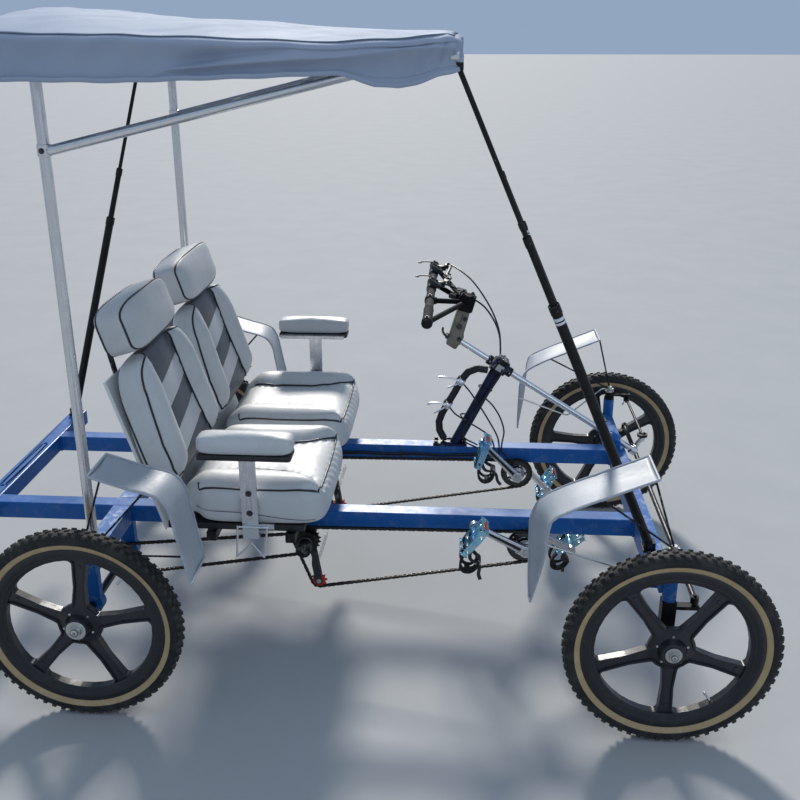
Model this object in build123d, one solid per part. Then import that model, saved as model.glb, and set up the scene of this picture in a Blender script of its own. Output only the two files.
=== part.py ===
from build123d import *
import os
import math

# Two-seat, four-wheel pedal car (quadricycle) with a fabric canopy.
# Millimetres. +X is forward, +Y is the vehicle's left, +Z is up.
# The origin is on the ground, under the centre of the whole vehicle.

# ---------------------------------------------------------------- driving dimensions
FRONT_AXLE_X = 780.0
WHEELBASE = 1410.0
REAR_AXLE_X = FRONT_AXLE_X - WHEELBASE
TYRE_R = 254.0            # 20 inch wheel
AXLE_Z = TYRE_R
TYRE_W = 52.0
FRONT_WHEEL_Y = 611.0
REAR_WHEEL_Y = 600.0

BEAM = 48.0               # square tube, side
BEAM_WALL = 3.0
BEAM_Y = 228.0            # the two long beams, one under each seat
BEAM_TOP = 396.0
BEAM_BOT = BEAM_TOP - BEAM
FRONT_BEAM_X = 765.0      # centre of the front cross-beam
FRONT_BEAM_W = 46.0
REAR_BEAM_X = -1010.0     # centre of the rearmost cross-beam
CROSS_HALF = 505.0

KINGPIN_Y = 540.0
KINGPIN_R = 10.0
SLEEVE_R = 17.0
SLEEVE_Z0, SLEEVE_Z1 = 340.0, 440.0
ARM_LOW = 60.0            # steering arm to the tie rod
ARM_HIGH = 58.6           # steering arm to the drag link
TIE_Z = 342.0

STEER_Y = BEAM_Y
SHAFT_TOP = (259.0, 740.0)        # X, Z of the upper end of the steering shaft
SHAFT_LOW = (812.0, 392.1)        # X, Z of its lower end
SHAFT_R = 9.0
PITMAN = 50.0

BB_X, BB_Z = 458.0, 320.0         # pedal cranks' axle
CRANK_L = 154.0
CRANK_DY = 70.0                   # crank arm from the beam's middle
PEDAL_DY = 130.0
LEFT_CRANK_DEG = 135.0            # direction of each right-hand arm, up from +X
RIGHT_CRANK_DEG = 153.0
PEDAL_TILT = {("left", -1): -70.0, ("left", 1): -58.0, ("right", -1): -50.0, ("right", 1): -36.0}
RING_R = 44.0
JACK_X, JACK_Z = -125.0, 322.0
JACK_R1, JACK_R2 = 36.0, 30.0
PULLEY_X, PULLEY_Z, PULLEY_R = -95.0, 198.0, 20.0
AXLE_RING_R = 46.0
CHAIN_LINE = {"left": 183.0, "right": -273.0}      # crank chain
REAR_LINE = {"left": 276.0, "right": -294.0}       # chain to the rear axle

SEAT_Y = 231.0
SEAT_W = 438.0
SEAT_X0, SEAT_X1 = -388.0, -46.0
SEAT_Z0, SEAT_Z1 = 440.0, 566.0
BACK_TILT = 17.0
BACK_T = 92.0
BACK_LEN = 334.0
HEAD_W, HEAD_H, HEAD_T = 372.0, 134.0, 104.0

CAN_X0, CAN_X1 = -758.0, 275.0
CAN_Y = 606.0
CAN_HEM = 1512.0
CAN_T = 6.0
RAIL_Y, RAIL_Z, RAIL_R = 562.0, 1550.0, 12.5
POLE_X, POLE_Y = -618.0, 492.0

FENDER_W = 130.0
FENDER_T = 3.0
WIRE_R = 3.0

os.makedirs("parts", exist_ok=True)
NODES = {}


# ---------------------------------------------------------------- helpers
def block(x0, x1, y0, y1, z0, z1):
    return Pos((x0 + x1) / 2, (y0 + y1) / 2, (z0 + z1) / 2) * Box(x1 - x0, y1 - y0, z1 - z0)


def rod(p, q, r):
    p, q = Vector(*p), Vector(*q)
    d = q - p
    return Plane(origin=p, z_dir=d) * Cylinder(r, d.length, align=(Align.CENTER, Align.CENTER, Align.MIN))


def ycyl(x, y0, y1, z, r):
    return rod((x, min(y0, y1), z), (x, max(y0, y1), z), r)


def wire(points, r, swell=0.0):
    # straight wires with ball corners
    s = rod(points[0], points[1], r)
    for a, b in zip(points[1:-1], points[2:]):
        s = s + Pos(*a) * Sphere(r + swell) + rod(a, b, r)
    return s


def fuse(items):
    s = items[0]
    for i in items[1:]:
        s = s + i
    return s


def bundle(items):
    return Compound(children=[i for i in items])


def xz_plate(pts, y0, y1):
    # polygon in X, Z, as thick as y0 to y1
    face = Plane.XZ * Polygon(*pts, align=None)
    return Pos(0, (y0 + y1) / 2, 0) * extrude(face, amount=abs(y1 - y0) / 2, both=True)


def hull_block(circles, grow, y, width):
    # block with the outline of a chain round sprockets: (x, z, r) each
    parts = [ycyl(x, y - width / 2, y + width / 2, z, r + grow) for x, z, r in circles]
    n = len(circles)
    for i in range(n):
        for j in range(i + 1, n):
            x1, z1, r1 = circles[i]
            x2, z2, r2 = circles[j]
            r1, r2 = r1 + grow, r2 + grow
            dx, dz = x2 - x1, z2 - z1
            base = math.atan2(dz, dx)
            off = math.acos((r1 - r2) / math.hypot(dx, dz))
            q = []
            for s in (1, -1):
                a = base + s * off
                q.append(((x1 + r1 * math.cos(a), z1 + r1 * math.sin(a)), (x2 + r2 * math.cos(a), z2 + r2 * math.sin(a))))
            parts.append(xz_plate([q[0][0], q[0][1], q[1][1], q[1][0]], y - width / 2, y + width / 2))
    if n == 3:
        parts.append(xz_plate([(x, z) for x, z, r in circles], y - width / 2, y + width / 2))
    return fuse(parts)


def chain_loop(circles, y, width):
    return hull_block(circles, 3.2, y, width) - hull_block(circles, -2.4, y, width + 2)


def save(name, shape):
    NODES[name] = shape
    export_step(shape, "parts/" + name + ".step")


# ---------------------------------------------------------------- frame
def long_beam(y):
    x0, x1 = REAR_BEAM_X + BEAM / 2, FRONT_BEAM_X - FRONT_BEAM_W / 2
    outer = block(x0, x1, y - BEAM / 2, y + BEAM / 2, BEAM_BOT, BEAM_TOP)
    w = BEAM_WALL
    inner = block(x0, x1, y - BEAM / 2 + w, y + BEAM / 2 - w, BEAM_BOT + w, BEAM_TOP - w)
    return outer - inner


save("long_beams", bundle([long_beam(-BEAM_Y), long_beam(BEAM_Y)]))

# front cross-beam with the two kingpin sleeves welded to its ends by a gusset
front = block(FRONT_BEAM_X - FRONT_BEAM_W / 2, FRONT_BEAM_X + FRONT_BEAM_W / 2, -CROSS_HALF, CROSS_HALF, BEAM_BOT, BEAM_TOP)
for s in (-1, 1):
    front += Pos(FRONT_AXLE_X, s * KINGPIN_Y, 0) * Pos(0, 0, (SLEEVE_Z0 + SLEEVE_Z1) / 2) * Cylinder(SLEEVE_R, SLEEVE_Z1 - SLEEVE_Z0)
    front += block(FRONT_BEAM_X - 10, FRONT_BEAM_X + 22, min(s * 500, s * KINGPIN_Y), max(s * 500, s * KINGPIN_Y), 356, 388)
for s in (-1, 1):
    front -= Pos(FRONT_AXLE_X, s * KINGPIN_Y, 390) * Cylinder(KINGPIN_R + 0.06, 200)
# lower bearing of the steering shaft, on the cross-beam
sx = SHAFT_LOW[0] - SHAFT_TOP[0]
sz = SHAFT_LOW[1] - SHAFT_TOP[1]
SL = math.hypot(sx, sz)
DX, DZ = sx / SL, sz / SL                # unit vector down the shaft
UX, UZ = -DZ, DX                         # square to the shaft, up and forward


def on_shaft(t):
    # point at distance t from the upper end
    return (SHAFT_TOP[0] + DX * t, STEER_Y, SHAFT_TOP[1] + DZ * t)


tb = (FRONT_BEAM_X - 12 - SHAFT_TOP[0]) / DX
low_bearing = rod(on_shaft(tb - 16), on_shaft(tb + 16), 16.0)
low_bearing += block(FRONT_BEAM_X - 34, FRONT_BEAM_X + 8, STEER_Y - 14, STEER_Y + 14, BEAM_TOP, BEAM_TOP + 26)
low_bearing -= block(600, 900, 0, 400, 300, BEAM_TOP)
front += low_bearing
front -= rod(on_shaft(tb - 120), on_shaft(tb + 120), SHAFT_R + 0.06)

# cross-beam over the rear axle, with four hangers for the axle's bearings
rear = block(REAR_AXLE_X - BEAM / 2, REAR_AXLE_X + BEAM / 2, -BEAM_Y + BEAM / 2, BEAM_Y - BEAM / 2, BEAM_BOT, BEAM_TOP)
rear_parts = [rear]
for s in (-1, 1):
    outer = block(REAR_AXLE_X - BEAM / 2, REAR_AXLE_X + BEAM / 2, min(s * (BEAM_Y + BEAM / 2), s * 530), max(s * (BEAM_Y + BEAM / 2), s * 530), BEAM_BOT, BEAM_TOP)
    outer += block(REAR_AXLE_X - 20, REAR_AXLE_X + 20, s * 505 - 10, s * 505 + 10, AXLE_Z, BEAM_BOT)
    outer += ycyl(REAR_AXLE_X, s * 505 - 14, s * 505 + 14, AXLE_Z, 26)
    outer -= ycyl(REAR_AXLE_X, s * 505 - 40, s * 505 + 40, AXLE_Z, 10.06)
    rear_parts.append(outer)
    inner = block(REAR_AXLE_X - 20, REAR_AXLE_X + 20, s * BEAM_Y - 10, s * BEAM_Y + 10, AXLE_Z, BEAM_BOT)
    inner += ycyl(REAR_AXLE_X, s * BEAM_Y - 14, s * BEAM_Y + 14, AXLE_Z, 26)
    inner -= ycyl(REAR_AXLE_X, s * BEAM_Y - 40, s * BEAM_Y + 40, AXLE_Z, 10.06)
    rear_parts.append(inner)
save("front_crossbeam", front)
save("rear_axle_carrier", bundle(rear_parts))

# the rearmost cross-beam has two bolt holes for a rack or a basket
RACK_HOLE_Y, RACK_HOLE_R = 150.0, 4.25
tail = block(REAR_BEAM_X - BEAM / 2, REAR_BEAM_X + BEAM / 2, -440, 440, BEAM_BOT, BEAM_TOP)
for s in (-1, 1):
    tail -= Pos(REAR_BEAM_X, s * RACK_HOLE_Y, BEAM_TOP - BEAM / 2) * Cylinder(RACK_HOLE_R, BEAM + 4)
save("rear_crossbeam", tail)

# ---------------------------------------------------------------- seats
rails = []
for x in (-340.0, -140.0):
    rails.append(block(x - 12.5, x + 12.5, -430, 430, BEAM_TOP, BEAM_TOP + 25))
save("seat_rails", bundle(rails))

t = math.radians(BACK_TILT)
BX, BZ = -math.sin(t), math.cos(t)       # up the backrest
FX, FZ = math.cos(t), math.sin(t)        # out of its front face
BACK_P = (-392.0, 548.0)                 # X, Z of the lower front edge of the backrest


def leaned(length, width, thick, along, front_off, r):
    # pad leaning with the backrest: its lower front edge is `along` up the backrest
    cx = BACK_P[0] + BX * (along + length / 2) + FX * (front_off - thick / 2)
    cz = BACK_P[1] + BZ * (along + length / 2) + FZ * (front_off - thick / 2)
    pad = Box(thick, width, length)
    pad = fillet(pad.edges(), r)
    return Pos(cx, 0, cz) * Rot(0, -BACK_TILT, 0) * pad


for side, s in (("left", 1), ("right", -1)):
    cushion = fillet(Box(SEAT_X1 - SEAT_X0, SEAT_W, SEAT_Z1 - SEAT_Z0).edges(), 28)
    save(side + "_seat_cushion", Pos((SEAT_X0 + SEAT_X1) / 2, s * SEAT_Y, (SEAT_Z0 + SEAT_Z1) / 2) * cushion)
    save(side + "_backrest", Pos(0, s * SEAT_Y, 0) * leaned(BACK_LEN, 428, BACK_T, 0, 0, 26))
heads = []
shells = []
for s in (1, -1):
    heads.append(Pos(0, s * SEAT_Y, 0) * leaned(HEAD_H, HEAD_W, HEAD_T, BACK_LEN + 4, 16, 26))
    # moulded shell: a pan under the cushion and a plate behind the backrest
    pan = block(-464, SEAT_X1 - 60, s * SEAT_Y - 182, s * SEAT_Y + 182, BEAM_TOP + 25, SEAT_Z0 - 2)
    off = -BACK_T - 1
    p = [(BACK_P[0] + BX * a + FX * o, BACK_P[1] + BZ * a + FZ * o) for a, o in ((-95, off), (BACK_LEN - 30, off), (BACK_LEN - 30, off - 8), (-105, off - 8))]
    plate = xz_plate(p, s * SEAT_Y - 190, s * SEAT_Y + 190)
    shells.append(pan + plate)
save("headrests", bundle(heads))
save("seat_shells", bundle(shells))

# armrests: a strap up from the seat rail's level, a plate and a pad on it
ARMRESTS = [  # side, X of the strap's middle, X and Y of the pad's middle, lift of the pad
    (1, -197.0, -208.0, 505.0, 4.0),
    (-1, -232.0, -228.0, 474.0, 0.0),
]
PAD_L, PAD_W, PAD_H, PAD_Z = 236.0, 72.0, 47.0, 664.4
posts, pads = [], []
for s, xs, xp, yp, lift in ARMRESTS:
    y0 = s * 452.0
    zp = PAD_Z + lift
    posts.append(fuse([
        block(xs - 20, xs + 20, min(y0, y0 + s * 6), max(y0, y0 + s * 6), BEAM_TOP + 31, zp - 10),
        block(xs - 20, xs + 20, min(s * 440, y0 + s * 6), max(s * 440, y0 + s * 6), BEAM_TOP + 25, BEAM_TOP + 31),
        block(xp - 104, xp + 104, min(y0, s * (yp + 27)), max(y0, s * (yp + 27)), zp - 10.4, zp - 0.4),
    ]))
    pad = fillet(Box(PAD_L, PAD_W, PAD_H).edges(), 16)
    pads.append(Pos(xp, s * yp, zp + PAD_H / 2) * pad)
save("armrest_posts", bundle(posts))
save("armrest_pads", bundle(pads))

# bent wire bracket on the outside of the right armrest's post
cage_pts = [(-262, -466.5, 458), (-268, -466.5, 376), (-228, -466.5, 412), (-200, -466.5, 376), (-188, -466.5, 458), (-262, -466.5, 458)]
cage = wire(cage_pts, 2.6, 0.4) + Pos(*cage_pts[0]) * Sphere(3.0)
cage = cage + block(-240, -172, -463.6, -458, 452, 464)
save("wire_bracket", cage)

# ---------------------------------------------------------------- canopy
# sections across the canopy: X, half width, hem height, edge height, crown height
CANOPY = [
    (CAN_X1, 588.0, 1530.0, 1566.0, 1574.0),
    (CAN_X1 - 30, 606.0, CAN_HEM, 1588.0, 1598.0),
    (-240.0, 606.0, CAN_HEM, 1588.0, 1622.0),
    (CAN_X0 + 30, 606.0, CAN_HEM, 1592.0, 1656.0),
    (CAN_X0, 588.0, 1530.0, 1574.0, 1632.0),
]


def canopy_section(x, half, hem, edge, crown, low):
    c = 26.0
    pl = Plane(origin=(x, 0, 0), x_dir=(0, 1, 0), z_dir=(1, 0, 0))
    pts = [(-half, low), (-half, edge - c), (-half + c, edge), (-half * 0.5, (edge + 3 * crown) / 4), (0, crown), (half * 0.5, (edge + 3 * crown) / 4), (half - c, edge), (half, edge - c), (half, low)]
    return pl * Polygon(*pts, align=None)


outer = loft([canopy_section(x, h, hem, e, c, CAN_HEM) for x, h, hem, e, c in CANOPY], ruled=True)
inner_rows = []
for i, (x, h, hem, e, c) in enumerate(CANOPY):
    xi = x - CAN_T if i == 0 else x + CAN_T if i == len(CANOPY) - 1 else x
    inner_rows.append(canopy_section(xi, h - CAN_T, hem, e - CAN_T, c - CAN_T, CAN_HEM - 20))
inner = loft(inner_rows, ruled=True)
# the front flap's hem is a little higher, where the struts come out
flap_cut = block(CAN_X1 - 14, CAN_X1 + 5, -700, 700, CAN_HEM - 10, CAN_HEM + 14)
save("canopy_cover", outer - inner - flap_cut)

side_rails, bows = [], []
for s in (-1, 1):
    side_rails.append(rod((CAN_X0 + 22, s * RAIL_Y, RAIL_Z), (CAN_X1 - 16, s * RAIL_Y, RAIL_Z), RAIL_R))
rails_all = fuse(side_rails)
# cross bows: X and the height of their middle
for x, zc in ((CAN_X1 - 44, 1573.0), (-240.0, 1599.0), (POLE_X, 1626.0)):
    e0, e1 = RAIL_Y - 4, 1553.0
    b = wire([(x, -e0, e1), (x, -300, (e1 + 3 * zc) / 4), (x, 0, zc), (x, 300, (e1 + 3 * zc) / 4), (x, e0, e1)], 11.0)
    b = b - rod((CAN_X0, -RAIL_Y, RAIL_Z), (CAN_X1, -RAIL_Y, RAIL_Z), RAIL_R + 0.02) - rod((CAN_X0, RAIL_Y, RAIL_Z), (CAN_X1, RAIL_Y, RAIL_Z), RAIL_R + 0.02)
    bows.append(b)
save("canopy_rails", bundle(side_rails))
save("canopy_bows", bundle(bows))

poles, braces, struts = [], [], []
for s in (-1, 1):
    p = rod((POLE_X, s * POLE_Y, BEAM_TOP), (POLE_X, s * POLE_Y, 1562), 12.5) - bows[2]
    poles.append(sorted([k for k in p.solids()], key=lambda k: -k.volume)[0])
    b = rod((POLE_X + 13, s * (POLE_Y + 2), 1360), (119, s * RAIL_Y, RAIL_Z - 16), 11.0)
    b = b - rod((CAN_X0, s * RAIL_Y, RAIL_Z), (CAN_X1, s * RAIL_Y, RAIL_Z), RAIL_R + 0.02) - rod((POLE_X, s * POLE_Y, BEAM_TOP), (POLE_X, s * POLE_Y, 1640), 12.6)
    braces.append(sorted([k for k in b.solids()], key=lambda k: -k.volume)[0])
    # telescoping struts of three sizes of tube, the thin one on top, clipped under the rail
    for x_top, x_low in ((247.75 - s * 10.25, 745.0 - s * 6.0), (CAN_X0 + 29, REAR_BEAM_X + 2)):
        a = Vector(x_top, s * RAIL_Y, RAIL_Z - RAIL_R - 6)
        f = Vector(x_low, s * 402, BEAM_TOP + 14)
        m1, m2 = a + (f - a) * 0.305, a + (f - a) * 0.44
        strut = rod(tuple(a), tuple(m1), 5.5) + rod(tuple(m1), tuple(m2), 8.5) + rod(tuple(m2), tuple(f), 12.0)
        clip = block(x_top - 10, x_top + 10, s * RAIL_Y - 8, s * RAIL_Y + 8, RAIL_Z - RAIL_R - 12, RAIL_Z - 6)
        strut += clip - rod((CAN_X0, s * RAIL_Y, RAIL_Z), (CAN_X1, s * RAIL_Y, RAIL_Z), RAIL_R + 0.02)
        strut += block(x_low - 16, x_low + 16, s * 402 - 20, s * 402 + 20, BEAM_TOP, BEAM_TOP + 6)
        strut += block(x_low - 14, x_low + 14, s * 402 - 15, s * 402 + 15, BEAM_TOP + 6, BEAM_TOP + 24)
        struts.append(sorted([k for k in strut.solids()], key=lambda k: -k.volume)[0])
save("canopy_poles", bundle(poles))
save("canopy_braces", bundle(braces))
save("canopy_struts", bundle(struts))

# ---------------------------------------------------------------- steering post and brake handle hoop
POST_BASE = (250.0, BEAM_TOP)
tp = (395.0 - SHAFT_TOP[0]) / DX
HEAD = on_shaft(tp)
post = Pos(0, 0, 0) * rod((POST_BASE[0], STEER_Y, BEAM_TOP - 30), (HEAD[0] - 6, STEER_Y, HEAD[2] - 6), 17.0)
post = post - block(100, 400, 100, 400, 300, BEAM_TOP + 8)
post += block(POST_BASE[0] - 52, POST_BASE[0] + 52, STEER_Y - 22, STEER_Y + 22, BEAM_TOP, BEAM_TOP + 8)
post += rod(on_shaft(tp - 24), on_shaft(tp + 24), 22.0)
post = post - rod(on_shaft(tp - 200), on_shaft(tp + 200), SHAFT_R + 0.06)
save("steering_post", post)

# bent handle on the driver's side of the post, one thickness all the way
HOOP_R = 11.0
HOOP = [(360, 641), (329, 645), (301, 633), (280, 606), (262, 568), (241, 530), (224, 497), (215, 469), (217, 441), (231, 414)]
hoop = wire([(x, STEER_Y, z) for x, z in HOOP], HOOP_R)
hoop = hoop - rod((POST_BASE[0], STEER_Y, BEAM_TOP - 30), (HEAD[0] - 6, STEER_Y, HEAD[2] - 6), 17.1) - block(100, 400, 100, 400, 300, BEAM_TOP + 8.1)
hoop = sorted([k for k in hoop.solids()], key=lambda k: -k.volume)[0]
save("brake_hoop", hoop)

# ---------------------------------------------------------------- steering shaft, handlebar, pitman arm
shaft = rod(on_shaft(0), (SHAFT_LOW[0] + DX * 16, STEER_Y, SHAFT_LOW[1] + DZ * 16), SHAFT_R)
ball = (SHAFT_LOW[0] + UX * PITMAN, STEER_Y, SHAFT_LOW[1] + UZ * PITMAN)
pit = rod((SHAFT_LOW[0] - DX * 6, STEER_Y, SHAFT_LOW[1] - DZ * 6), (SHAFT_LOW[0] + DX * 10, STEER_Y, SHAFT_LOW[1] + DZ * 10), 15.0)
arm = Plane(origin=(SHAFT_LOW[0] + DX * 2, STEER_Y, SHAFT_LOW[1] + DZ * 2), x_dir=(UX, 0, UZ), z_dir=(DX, 0, DZ)) * (Pos(22, 0, 0) * Box(48, 18, 8))
pit += arm
STUD_TOP = ball[2] + 14
pit += rod((ball[0], STEER_Y, ball[2] - 8), (ball[0], STEER_Y, STUD_TOP), 3.6)
pit += rod((ball[0], STEER_Y, ball[2] - 14), (ball[0], STEER_Y, ball[2] - 6.5), 9.0)
shaft += pit
# clamp at the shaft's upper end and the stem that rises from it
STEM_TOP = (284.0, 831.0)
STEM_R = 18.0
shaft += rod(on_shaft(-14), on_shaft(18), 20.0)
shaft += rod((SHAFT_TOP[0], STEER_Y, SHAFT_TOP[1]), (STEM_TOP[0], STEER_Y, STEM_TOP[1]), STEM_R)
save("steering_shaft", shaft)

# handlebar: a long padded bar across, carried by four rods from the hub on the stem
BAR_X, BAR_Z, BAR_HALF = 186.0, 882.0, 345.0
BAR_R, HUB_R = 11.5, 24.0
hub = (289.0, STEER_Y, 851.0)
bar = rod((BAR_X, STEER_Y - BAR_HALF, BAR_Z), (BAR_X, STEER_Y + BAR_HALF, BAR_Z), BAR_R)
bar += Pos(*hub) * Sphere(HUB_R)
for s in (-1, 1):
    for reach in (105.0, BAR_HALF - 14):
        bar += rod(hub, (BAR_X, STEER_Y + s * reach, BAR_Z), 7.5)
bar = bar - rod((SHAFT_TOP[0], STEER_Y, SHAFT_TOP[1]), (STEM_TOP[0], STEER_Y, STEM_TOP[1]), STEM_R + 0.02)
bar = sorted([k for k in bar.solids()], key=lambda k: -k.volume)[0]
save("handlebar", bar)

# ---------------------------------------------------------------- knuckles, tie rod, drag link
for side, s in (("left", 1), ("right", -1)):
    ky = s * KINGPIN_Y
    k = Pos(FRONT_AXLE_X, ky, 380) * Cylinder(KINGPIN_R, 170)                        # z 295 to 465
    k += Pos(FRONT_AXLE_X, ky, SLEEVE_Z1 + 1 + 3.5) * Cylinder(16, 7)                # top washer and nut
    k += Pos(FRONT_AXLE_X, ky, 458) * Cylinder(13, 14)
    k += block(FRONT_AXLE_X - 17, FRONT_AXLE_X + 17, ky - 15, ky + 15, AXLE_Z - 18, SLEEVE_Z0 - 1)
    k += ycyl(FRONT_AXLE_X, ky, s * (FRONT_WHEEL_Y + 44), AXLE_Z, 8.0)
    k += block(FRONT_AXLE_X, FRONT_AXLE_X + ARM_LOW + 12, ky - 11, ky + 11, 318, 327)
    k += Pos(FRONT_AXLE_X + ARM_LOW, ky, (318 + TIE_Z + 13) / 2) * Cylinder(4.0, TIE_Z + 13 - 318)
    if s > 0:
        k += block(FRONT_AXLE_X, FRONT_AXLE_X + ARM_HIGH + 10, ky - 10, ky + 10, 453, 460)
        k += Pos(FRONT_AXLE_X + ARM_HIGH, ky, (428 + 460) / 2) * Cylinder(4.0, 460 - 428)
    save(side + "_knuckle", k)


tx = FRONT_AXLE_X + ARM_LOW
tie = rod((tx, -KINGPIN_Y + 8, TIE_Z), (tx, KINGPIN_Y - 8, TIE_Z), 7.0)
for s in (-1, 1):
    tie = tie + Pos(tx, s * KINGPIN_Y, TIE_Z) * Cylinder(10.0, 17.0)
for s in (-1, 1):
    tie = tie - Pos(tx, s * KINGPIN_Y, TIE_Z) * Cylinder(4.06, 40.0)
save("tie_rod", tie)

dx_ = FRONT_AXLE_X + ARM_HIGH
DRAG_Z = ball[2] + 6
drag = rod((dx_, KINGPIN_Y - 7, DRAG_Z), (ball[0], STEER_Y + 13, DRAG_Z), 4.2)
drag = drag + Pos(dx_, KINGPIN_Y, DRAG_Z) * Cylinder(10.0, 12.0)
drag = drag + Pos(ball[0], STEER_Y, DRAG_Z) * Cylinder(15.5, 9.0)
drag = drag - Pos(dx_, KINGPIN_Y, DRAG_Z) * Cylinder(4.06, 40.0) - Pos(ball[0], STEER_Y, DRAG_Z) * Cylinder(11.0, 40.0)
save("drag_link", drag)

# ---------------------------------------------------------------- wheels
def tyre():
    # section in radius (local X) and width (local Z)
    w = TYRE_W / 2
    pts = [(207, -13), (207, 13), (214, 18), (226, w - 3), (238, w), (247, w - 6), (TYRE_R, w - 14), (TYRE_R, -w + 14), (247, -w + 6), (238, -w), (226, -w + 3), (214, -18)]
    face = Plane.XZ * Polygon(*pts, align=None)
    return revolve(face, Axis.Z, 360)


def rim(hub_half, bore):
    # five-spoke moulded wheel, axis along local Z
    pts = [(182, -11), (182, 11), (193, 15), (205, 20), (213, 17.8), (206.8, 13.3), (206.8, -13.3), (213, -17.8), (205, -20), (193, -15)]
    ring = revolve(Plane.XZ * Polygon(*pts, align=None), Axis.Z, 360)
    disc = Pos(0, 0, 0) * Cylinder(186, 20)
    win = Circle(178) - Circle(46)
    for i in range(5):
        win -= Rot(0, 0, 72 * i) * (Pos(110, 0) * Rectangle(170, 30))
    win = fillet(win.vertices(), 13)
    cut = Pos(0, 0, -20) * extrude(win, amount=40)
    body = (disc - cut) + ring + Cylinder(34, 2 * hub_half)
    return body - Cylinder(bore, 2 * hub_half + 4)


def as_wheel(shape, x, y, deg):
    # local Z to the axle (Y); one spoke points `deg` up from +X
    return Pos(x, y, AXLE_Z) * Rot(90, 0, 0) * Rot(0, 0, deg) * shape


TYRE = tyre()
WHEELS = [  # name, X, side, Y, spoke direction
    ("front_left", FRONT_AXLE_X, 1, FRONT_WHEEL_Y, 31),
    ("front_right", FRONT_AXLE_X, -1, FRONT_WHEEL_Y, 270),
    ("rear_left", REAR_AXLE_X, 1, REAR_WHEEL_Y, 50),
    ("rear_right", REAR_AXLE_X, -1, REAR_WHEEL_Y, 12),
]
for name, x, s, y, deg in WHEELS:
    save(name + "_tyre", as_wheel(TYRE, x, s * y, deg))
    if name.startswith("front"):
        save(name + "_rim", as_wheel(rim(32, 8.06), x, s * y, deg))
    else:
        save(name + "_rim", as_wheel(rim(32, 10.0), x, s * y, deg))
        ring_y = REAR_LINE["left" if s > 0 else "right"]
        ax = ycyl(x, s * 206, s * (y + 44), AXLE_Z, 10.0)
        ax += ycyl(x, ring_y - 2, ring_y + 2, AXLE_Z, AXLE_RING_R - 3)
        ax += ycyl(x, ring_y - 12, ring_y + 12, AXLE_Z, 18)
        save(name + "_axle", ax)

# ---------------------------------------------------------------- pedals, cranks, chains
bb = []
for s in (1, -1):
    sh = ycyl(BB_X, s * BEAM_Y - 34, s * BEAM_Y + 34, BB_Z, 21)
    sh += block(BB_X - 16, BB_X + 16, s * BEAM_Y - 18, s * BEAM_Y + 18, BB_Z, BEAM_BOT)
    sh -= ycyl(BB_X, s * BEAM_Y - 60, s * BEAM_Y + 60, BB_Z, 12.06)
    bb.append(sh)
save("crank_bearings", bundle(bb))

for side, s, deg in (("left", 1, LEFT_CRANK_DEG), ("right", -1, RIGHT_CRANK_DEG)):
    yb = s * BEAM_Y
    a = math.radians(deg)
    cx, cz = math.cos(a), math.sin(a)
    crank = ycyl(BB_X, yb - CRANK_DY + 4, yb + CRANK_DY - 4, BB_Z, 12.0)
    ends = []
    for k in (-1, 1):       # -1: right-hand arm, 1: left-hand arm
        ya = yb + k * CRANK_DY
        ex, ez = BB_X - k * CRANK_L * cx, BB_Z - k * CRANK_L * cz
        arm = rod((BB_X, ya, BB_Z), (ex, ya, ez), 7.4)
        arm += ycyl(BB_X, ya - 8, ya + 8, BB_Z, 16)
        arm += ycyl(ex, ya - 8, ya + 8, ez, 12)
        crank += arm
        pin0, pin1 = ya + k * 8, ya + k * 112
        crank += ycyl(ex, pin0, pin1, ez, 4.5)
        ends.append((k, ex, ez, ya))
    ry = CHAIN_LINE[side]
    ringf = Circle(RING_R - 3) - Circle(33)
    for i in range(5):
        ringf += Rot(0, 0, 72 * i) * (Pos(26, 0) * Rectangle(18, 10))
    ringf += Circle(20)
    ringf -= Circle(11.9)
    crank += Pos(BB_X, ry + 2, BB_Z) * extrude(Plane.XZ * ringf, amount=4)
    save(side + "_crankset", crank)
    for k, ex, ez, ya in ends:
        yp = yb + k * PEDAL_DY
        body = block(ex - 44, ex + 44, yp - 42, yp + 42, ez - 12, ez + 12)
        for sx_ in (-1, 1):
            for sy_ in (-1, 1):
                body -= block(ex + sx_ * 25 - 12, ex + sx_ * 25 + 12, yp + sy_ * 20 - 14, yp + sy_ * 20 + 14, ez - 20, ez + 20)
        body -= ycyl(ex, yp - 80, yp + 80, ez, 4.56)
        which = side + "_crank_" + ("right" if k < 0 else "left") + "_pedal"
        save(which, Pos(ex, 0, ez) * Rot(0, PEDAL_TILT[(side, k)], 0) * Pos(-ex, 0, -ez) * body)

chains = []
for side in ("left", "right"):
    chains.append(chain_loop([(BB_X, BB_Z, RING_R), (JACK_X, JACK_Z, JACK_R1), (PULLEY_X, PULLEY_Z, PULLEY_R)], CHAIN_LINE[side], 6))
    chains.append(chain_loop([(JACK_X, JACK_Z, JACK_R2), (REAR_AXLE_X, AXLE_Z, AXLE_RING_R)], REAR_LINE[side], 6))
save("drive_chains", bundle(chains))

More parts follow.
